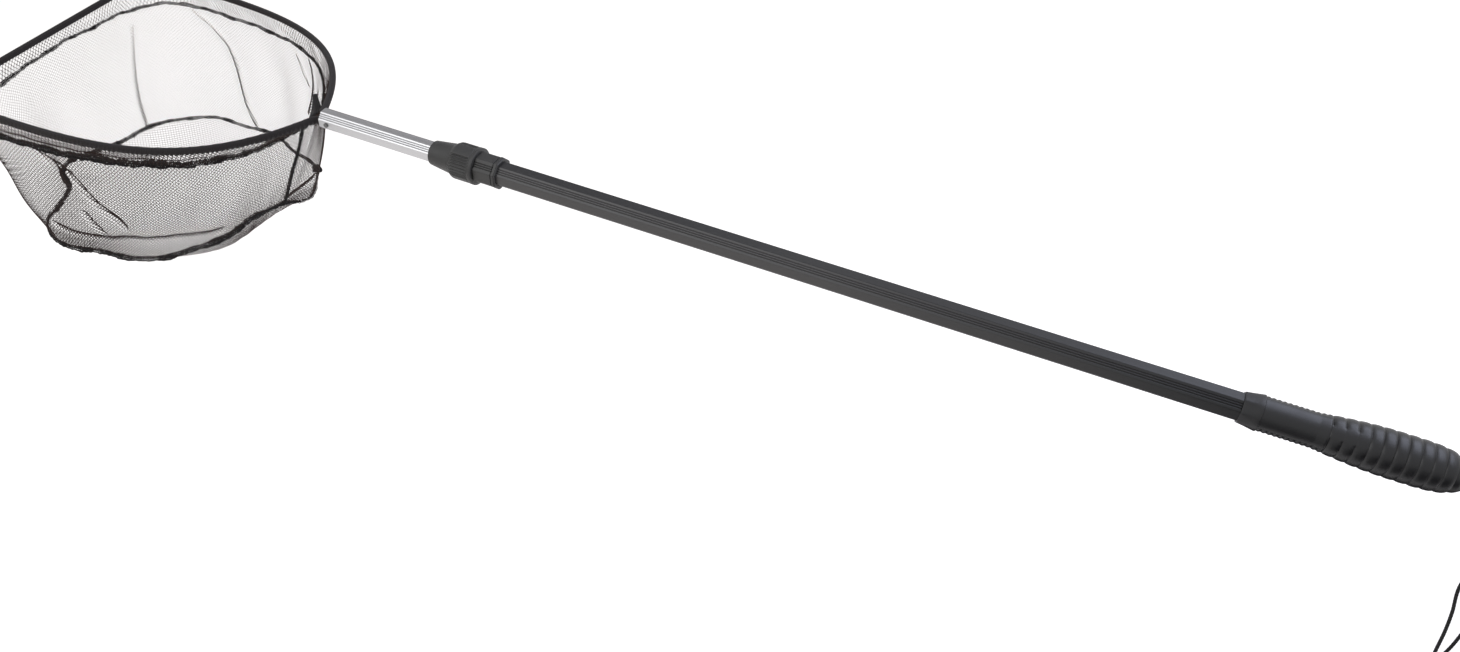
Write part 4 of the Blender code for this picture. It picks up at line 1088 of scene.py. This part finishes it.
def hang_bottom(flat):
    """Places of lattice points on the sagging bottom; points outside the seam go to its nearest point.

    With d the distance to the seam, the sag is depth * (1 - (1 - d / reach)^2), with a slow ripple in depth.
    """
    reach = 0.05
    edge = SEAM[::4]
    apart = np.linalg.norm(flat[:, None] - edge[None, :, :2], axis=2)
    nearest = edge[apart.argmin(axis=1), :2]
    weight = 1 / (apart**2 + 1e-9)
    seam_z = weight @ edge[:, 2] / weight.sum(axis=1)
    inside = within(flat, edge[:, :2])
    d = np.where(inside, apart.min(axis=1), 0)
    depth = 0.010 + 0.002 * np.sin(flat[:, 0] * 47) * np.sin(flat[:, 1] * 39)
    sag = depth * (1 - (1 - np.clip(d / reach, 0, 1)) ** 2)
    return np.column_stack([np.where(inside[:, None], flat, nearest), seam_z - sag])


def make_bottom():
    """The bottom panel: two lays of threads within the seam."""
    nodes, segments = [], []
    for way in (0.5, -0.5):
        flat, pairs = bottom_lines(way)
        pairs = pairs[within(flat, SEAM[::4, :2])[pairs].any(axis=1)]
        used, numbers = np.unique(pairs, return_inverse=True)
        segments.append(numbers.reshape(-1, 2) + sum(len(lay) for lay in nodes))
        nodes.append(hang_bottom(flat[used]))
    nodes = np.vstack(nodes)
    leaning_up = unit(np.array([0.21, 0.13, 0.97]))
    normals = np.tile(leaning_up, (len(nodes), 1))
    radius = np.full(len(nodes), BOTTOM_THREAD)
    points, quads = strands(nodes, normals, radius, np.vstack(segments))
    bottom = mesh_piece("net_bottom", points, [quads], THREAD)
    settle(bottom, "bag_bottom", "net_pole")
    x, y = SEAM[:, 0], SEAM[:, 1]
    area = float(abs(np.sum(x * np.roll(y, -1) - y * np.roll(x, -1)))) / 2


UP = np.array([0.0, 0.0, 1.0])
THICKEST_PLY = 0.00075
BRAID_PITCH = 0.0095


def make_rim():
    """The fabric binding round the hoop, from one tail to the other, with slanted overcast stitches."""
    half = half_rim(with_bend=True)
    path = in_frame(spaced(np.vstack([half, half[::-1] * [1, -1]]), 1700), 0.0)
    run = lengths(path)
    turn = turns(28)
    near = ramp(run / run[-1], 0.50, 0.72)[:, None]
    stitch_pitch, knit_pitch = 0.0046, 0.0013
    stitch = np.abs(np.sin(math.pi * run[:, None] / stitch_pitch + 0.5 * turn)) ** 3
    knit = np.sin(TAU * run[:, None] / knit_pitch) * np.sin(14 * turn)
    low_side = 0.5 - 0.5 * np.cos(turn)
    hem = low_side**2 * (0.0002 + 0.0011 * near) * (0.4 + 0.9 * stitch)
    radius = RIM_RADIUS - 0.0004 + hem + 0.00008 * knit
    rim = grid_piece("rim_binding", swept(path, radius, turn, UP), RIM_KNIT, run=run, capped=True)
    settle(rim, "rim_sleeve", "net_pole")


def stitched(name, node, path, width, pitch, closed):
    """A stitched edge: five plies in a loose flat braid along a path.

    A ply lies width * 0.39 sin a up and width * 0.22 sin 2a sideways of the path, and is width * 0.085 in
    radius up to its limit, with a = windings + its own fifths of a turn, a little uneven.
    """
    run = lengths(path)
    share = np.arange(len(path)) / (len(path) if closed else len(path) - 1)
    windings = round(run[-1] / pitch)
    round_it = TAU * share
    uneven = 0.9 * np.sin(13 * round_it) + 0.6 * np.sin(31 * round_it + 1)
    lumps = 0.20 * np.sin(47 * round_it) * np.sin(29 * round_it + 1)
    lumps += 0.22 * np.sin(97 * round_it) * np.sin(61 * round_it + 2)
    width = width * (1 + lumps)[:, None]
    upright = UP if closed else np.array([0.6, 0.8, 0.0])
    normal, side = squared(path, upright, closed)
    radius = np.minimum(width * 0.085, THICKEST_PLY)
    plies = []
    for start in turns(5):
        a = (windings * round_it + start + uneven)[:, None]
        line = path + width * (0.39 * np.sin(a) * normal + 0.22 * np.sin(2 * a) * side)
        plies.append(swept(line, radius, turns(6), upright, closed))
    braid = grid_piece(name, np.stack(plies), TAPE_KNIT, wrap_rows=closed, run=run, capped=not closed)
    settle(braid, node, "net_pole")


# The closing seam's course: share down the wall and share round it
BACK_SEAM = [(0.0, 0.9857), (0.165, 0.9876), (0.38, 0.9898), (0.51, 0.9935), (0.715, 1.0027), (1.0, 1.0145)]
BACK_SEAM_END = 0.905
# How far up the wall the piping rides over the rear lobe: share round the wall and share of its depth
PIPING_LIFT = [(0.84, 0.0), (0.876, 0.10), (0.92, 0.165), (0.945, 0.235)]
PIPING_LIFT += [(0.975, 0.19), (1.01, 0.10), (1.04, 0.0)]


def make_bindings():
    """The header tape, the piped bottom seam and the closing seam down the rear of the wall."""
    heavy = bell(SHARES, 0.80, 0.17)
    bunched = bell(SHARES, 0.030, 0.028)
    tape_width = 0.0042 + 0.0040 * heavy + 0.0042 * bunched
    stitched("header_tape_cord", "header_tape", TAPE, tape_width[:, None], BRAID_PITCH, True)
    loose = np.maximum(heavy, bell(SHARES, 0.58, 0.08))
    piping_width = 0.0044 + 0.0024 * loose + 0.0014 * bell(SHARES, 0.43, 0.05)
    piping_width += 0.0020 * bell(SHARES, 0.925, 0.045) + 0.0040 * bell(SHARES, 0.557, 0.022)
    lift = np.interp(np.where(SHARES < 0.5, SHARES + 1, SHARES), *zip(*PIPING_LIFT))
    piping = wall_place(SHARES, 1 - lift)
    stitched("bottom_piping", "bottom_seam", piping, piping_width[:, None], BRAID_PITCH, True)
    fall = np.linspace(0.0, BACK_SEAM_END, 240)
    closing = wall_place(np.interp(fall, *zip(*BACK_SEAM)), fall)
    stitched("back_seam", "wall_seam", closing, 0.0040, 0.0060, False)


def make_gather(name, start, end, wide, thin):
    """Netting bunched at the tube's mouth: a flat bundle with pleats, from start to end.

    Its section is the ellipse 1 / sqrt((cos / thin)^2 + (sin / wide)^2), times 1 + 0.2 cos(11 turn). The
    half sizes wide and thin are given at both ends.
    """
    u = np.linspace(0, 1, 60)
    path = start + (end - start) * u[:, None] + [0, 0, -0.003] * np.sin(np.pi * u)[:, None]
    turn = turns(88)
    wide = np.interp(u, [0, 1], wide)[:, None]
    thin = np.interp(u, [0, 1], thin)[:, None]
    radius = 1 / np.sqrt((np.cos(turn) / thin) ** 2 + (np.sin(turn) / wide) ** 2)
    radius = radius * (1 + 0.2 * np.cos(11 * turn + 2.5 * u[:, None]))
    bundle = grid_piece(name, swept(path, radius, turn, UP), TAPE_KNIT, run=lengths(path), capped=True)
    settle(bundle, None, "net_pole")


def make_throat():
    """The two gathers at the throat: one in towards the bag, and one beside the tape on the far side."""
    mouth = np.array([MOUTH - 0.003, 0.0, -0.001])
    make_gather("throat_gather", mouth, TAPE[10], (0.0085, 0.0095), (0.0036, 0.0026))
    far_end = mouth + [-0.058, 0.057, -0.022]
    make_gather("far_gather", TAPE[12], far_end, (0.0068, 0.0018), (0.0030, 0.0008))


def make_tuft(name, place, size):
    """A knot of gathered seam: a ball with folds, a little narrow across.

    Its radius is size * (1 + 0.22 sin(5 turn + 3 tilt) sin(tilt) + 0.1 sin(4 tilt)).
    """
    tilt = np.linspace(math.pi - 0.05, 0.05, 24)[:, None]
    turn = turns(36)
    radius = size * (1 + 0.22 * np.sin(5 * turn + 3 * tilt) * np.sin(tilt) + 0.1 * np.sin(4 * tilt))
    spread = radius * np.sin(tilt)
    points = np.stack([spread * np.cos(turn), 0.8 * spread * np.sin(turn), radius * np.cos(tilt)], axis=-1)
    tuft = grid_piece(name, points + place, TAPE_KNIT, run=np.arange(len(tilt)) * 0.0005, capped=True)
    settle(tuft, None, "net_pole")


def dress_nodes():
    """Better finishes for the CAD pieces that stay as they are."""
    for node, finish in (
        ("tube_end_plug", PLUG_BLACK),
        ("lock_collet", NATURAL),
        ("guide_bush", NATURAL),
        ("yoke_plug", PLUG_BLACK),
        ("yoke_rivet", RIVET),
        ("hoop_frame", STEEL),
    ):
        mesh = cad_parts[node].data
        mesh.materials.clear()
        mesh.materials.append(finish.material)


# Floor, light and camera

FLOOR_Z = -0.55


def aim_camera():
    """The photograph's view: the eye, the direction of view and the lens fitted to the hoop and the pole."""
    eye = (-0.2514, -0.785, 0.700)
    forward = unit(np.array([-0.258, 0.677, -0.689]))
    right = np.array([0.916, 0.397, 0.047])
    right = unit(right - forward * (right @ forward))
    down = np.cross(forward, right)
    roll = math.radians(0.05)
    level_right, level_down = right, down
    right = level_right * math.cos(roll) - level_down * math.sin(roll)
    down = level_right * math.sin(roll) + level_down * math.cos(roll)
    data = bpy.data.cameras.new("photo_view")
    sensor, lens_pixels, photo_pixels = 36.0, 1200, 1460
    data.sensor_width = sensor
    data.sensor_fit = "HORIZONTAL"
    data.lens = sensor * lens_pixels / photo_pixels
    data.clip_start = 0.01
    camera = bpy.data.objects.new("photo_view", data)
    place = np.eye(4)
    place[:3, 0] = right
    place[:3, 1] = -down
    place[:3, 2] = -forward
    place[:3, 3] = eye
    camera.matrix_world = place.T.tolist()
    bpy.context.scene.collection.objects.link(camera)
    bpy.context.scene.camera = camera


def is_seen(tree):
    """One where a ray comes from the camera, a gloss or a clear surface."""
    path = tree.nodes.new("ShaderNodeLightPath")
    seen = Signal(path.outputs["Is Camera Ray"]).most(Signal(path.outputs["Is Glossy Ray"]))
    return seen.most(Signal(path.outputs["Is Transmission Ray"]))


def make_stage():
    """A wide pale floor well under the held net, which shows white and keeps a soft shadow."""
    half = 4.0
    corners = np.array([(-half, -half), (half, -half), (half, half), (-half, half)])
    points = np.column_stack([corners + [-0.6, 0.5], np.full(4, FLOOR_Z)])
    paper = Finish("pale_floor", (0.96, 0.91, 0.86), 0.9, Specular_IOR_Level=0.0)
    grain = paper.noise(paper.place(), 30.0, 2.0)
    paper.tint((grain, (0.98, 0.93, 0.88)))
    tree = paper.tree
    tree.links.new(is_seen(tree).socket, paper.shader.inputs["Emission Color"])
    paper.shader.inputs["Emission Strength"].default_value = 0.62
    floor = mesh_piece("floor", points, [np.array([[0, 1, 2, 3]])], paper)


def facing(place, target):
    """A matrix at a place whose -Z axis points to a target."""
    axis = unit(place - target)
    side = unit(np.cross([0.0, 1.0, 0.3], axis))
    matrix = np.eye(4)
    matrix[:3, 0] = side
    matrix[:3, 1] = np.cross(axis, side)
    matrix[:3, 2] = axis
    matrix[:3, 3] = place
    return matrix.T.tolist()


def make_flag(name, middle, target, half, grey):
    """A square card out of the camera's sight that shiny faces reflect."""
    side, up, _, _ = np.array(facing(np.array(middle), np.array(target)))[:, :3]
    corners = np.array([(-1, -1), (1, -1), (1, 1), (-1, 1)]) * half
    points = middle + corners[:, :1] * side + corners[:, 1:] * up
    card = Finish(name, (grey, grey, grey), 0.9, Specular_IOR_Level=0.0)
    flag = mesh_piece(name, points, [np.array([[0, 1, 2, 3]])], card)
    flag.visible_camera = False
    flag.visible_shadow = False


def make_light():
    """A white surround that shows white and lights softly, and large soft lamps above and in front."""
    world = bpy.data.worlds.new("studio")
    bpy.context.scene.world = world
    world.use_nodes = True
    tree = world.node_tree
    back = tree.nodes["Background"]
    back.inputs["Color"].default_value = (1, 1, 1, 1)
    strength = is_seen(tree) * 0.70 + 0.30
    tree.links.new(strength.socket, back.inputs["Strength"])
    for name, place, target, size, power, colour in (
        ("front_softbox", (-1.6, -1.2, 1.3), (-0.8, 0, 0), (1.2, 1.2), 11.0, (1, 1, 1)),
        ("top_softbox", (0.43, 0.75, 1.45), (0.0, 0, 0), (1.0, 1.7), 22.0, (0.76, 0.81, 1)),
    ):
        data = bpy.data.lights.new(name, "AREA")
        data.shape = "RECTANGLE"
        data.size, data.size_y = size
        data.energy = power
        data.color = colour
        lamp = bpy.data.objects.new(name, data)
        lamp.matrix_world = facing(np.array(place), np.array(target))
        bpy.context.scene.collection.objects.link(lamp)
    bpy.context.scene.view_settings.view_transform = "Standard"


aim_camera()
make_cord()
make_tube("outer_tube_drawn", "outer_tube", OUTER_FLATS, OUTER_WALL, BLACK_TUBE, "handle")
make_tube("inner_tube_drawn", "inner_tube", INNER_FLATS, INNER_WALL, SILVER, "net_pole")
make_grip()
make_nut()
make_sleeve()
make_rim()
make_bindings()
make_throat()
make_tuft("rear_corner_tuft", np.array([MOUTH - 0.1055, 0.0802, -0.1505]), 0.0052)
make_tuft("front_corner_tuft", np.array([MOUTH - 0.371, -0.024, -0.158]), 0.0036)
make_header()
make_wall()
make_bottom()
dress_nodes()
make_stage()
make_flag("grey_card", (-1.75, 0.95, 0.85), (-0.9, 0, 0), 0.75, 0.8)
make_flag("dark_card_below", (0.15, 0.15, -0.45), (0.1, 0, 0), 0.30, 0.03)
make_flag("dark_card_before", (0.35, -0.60, -0.30), (0.05, 0, 0), 0.45, 0.03)
make_light()
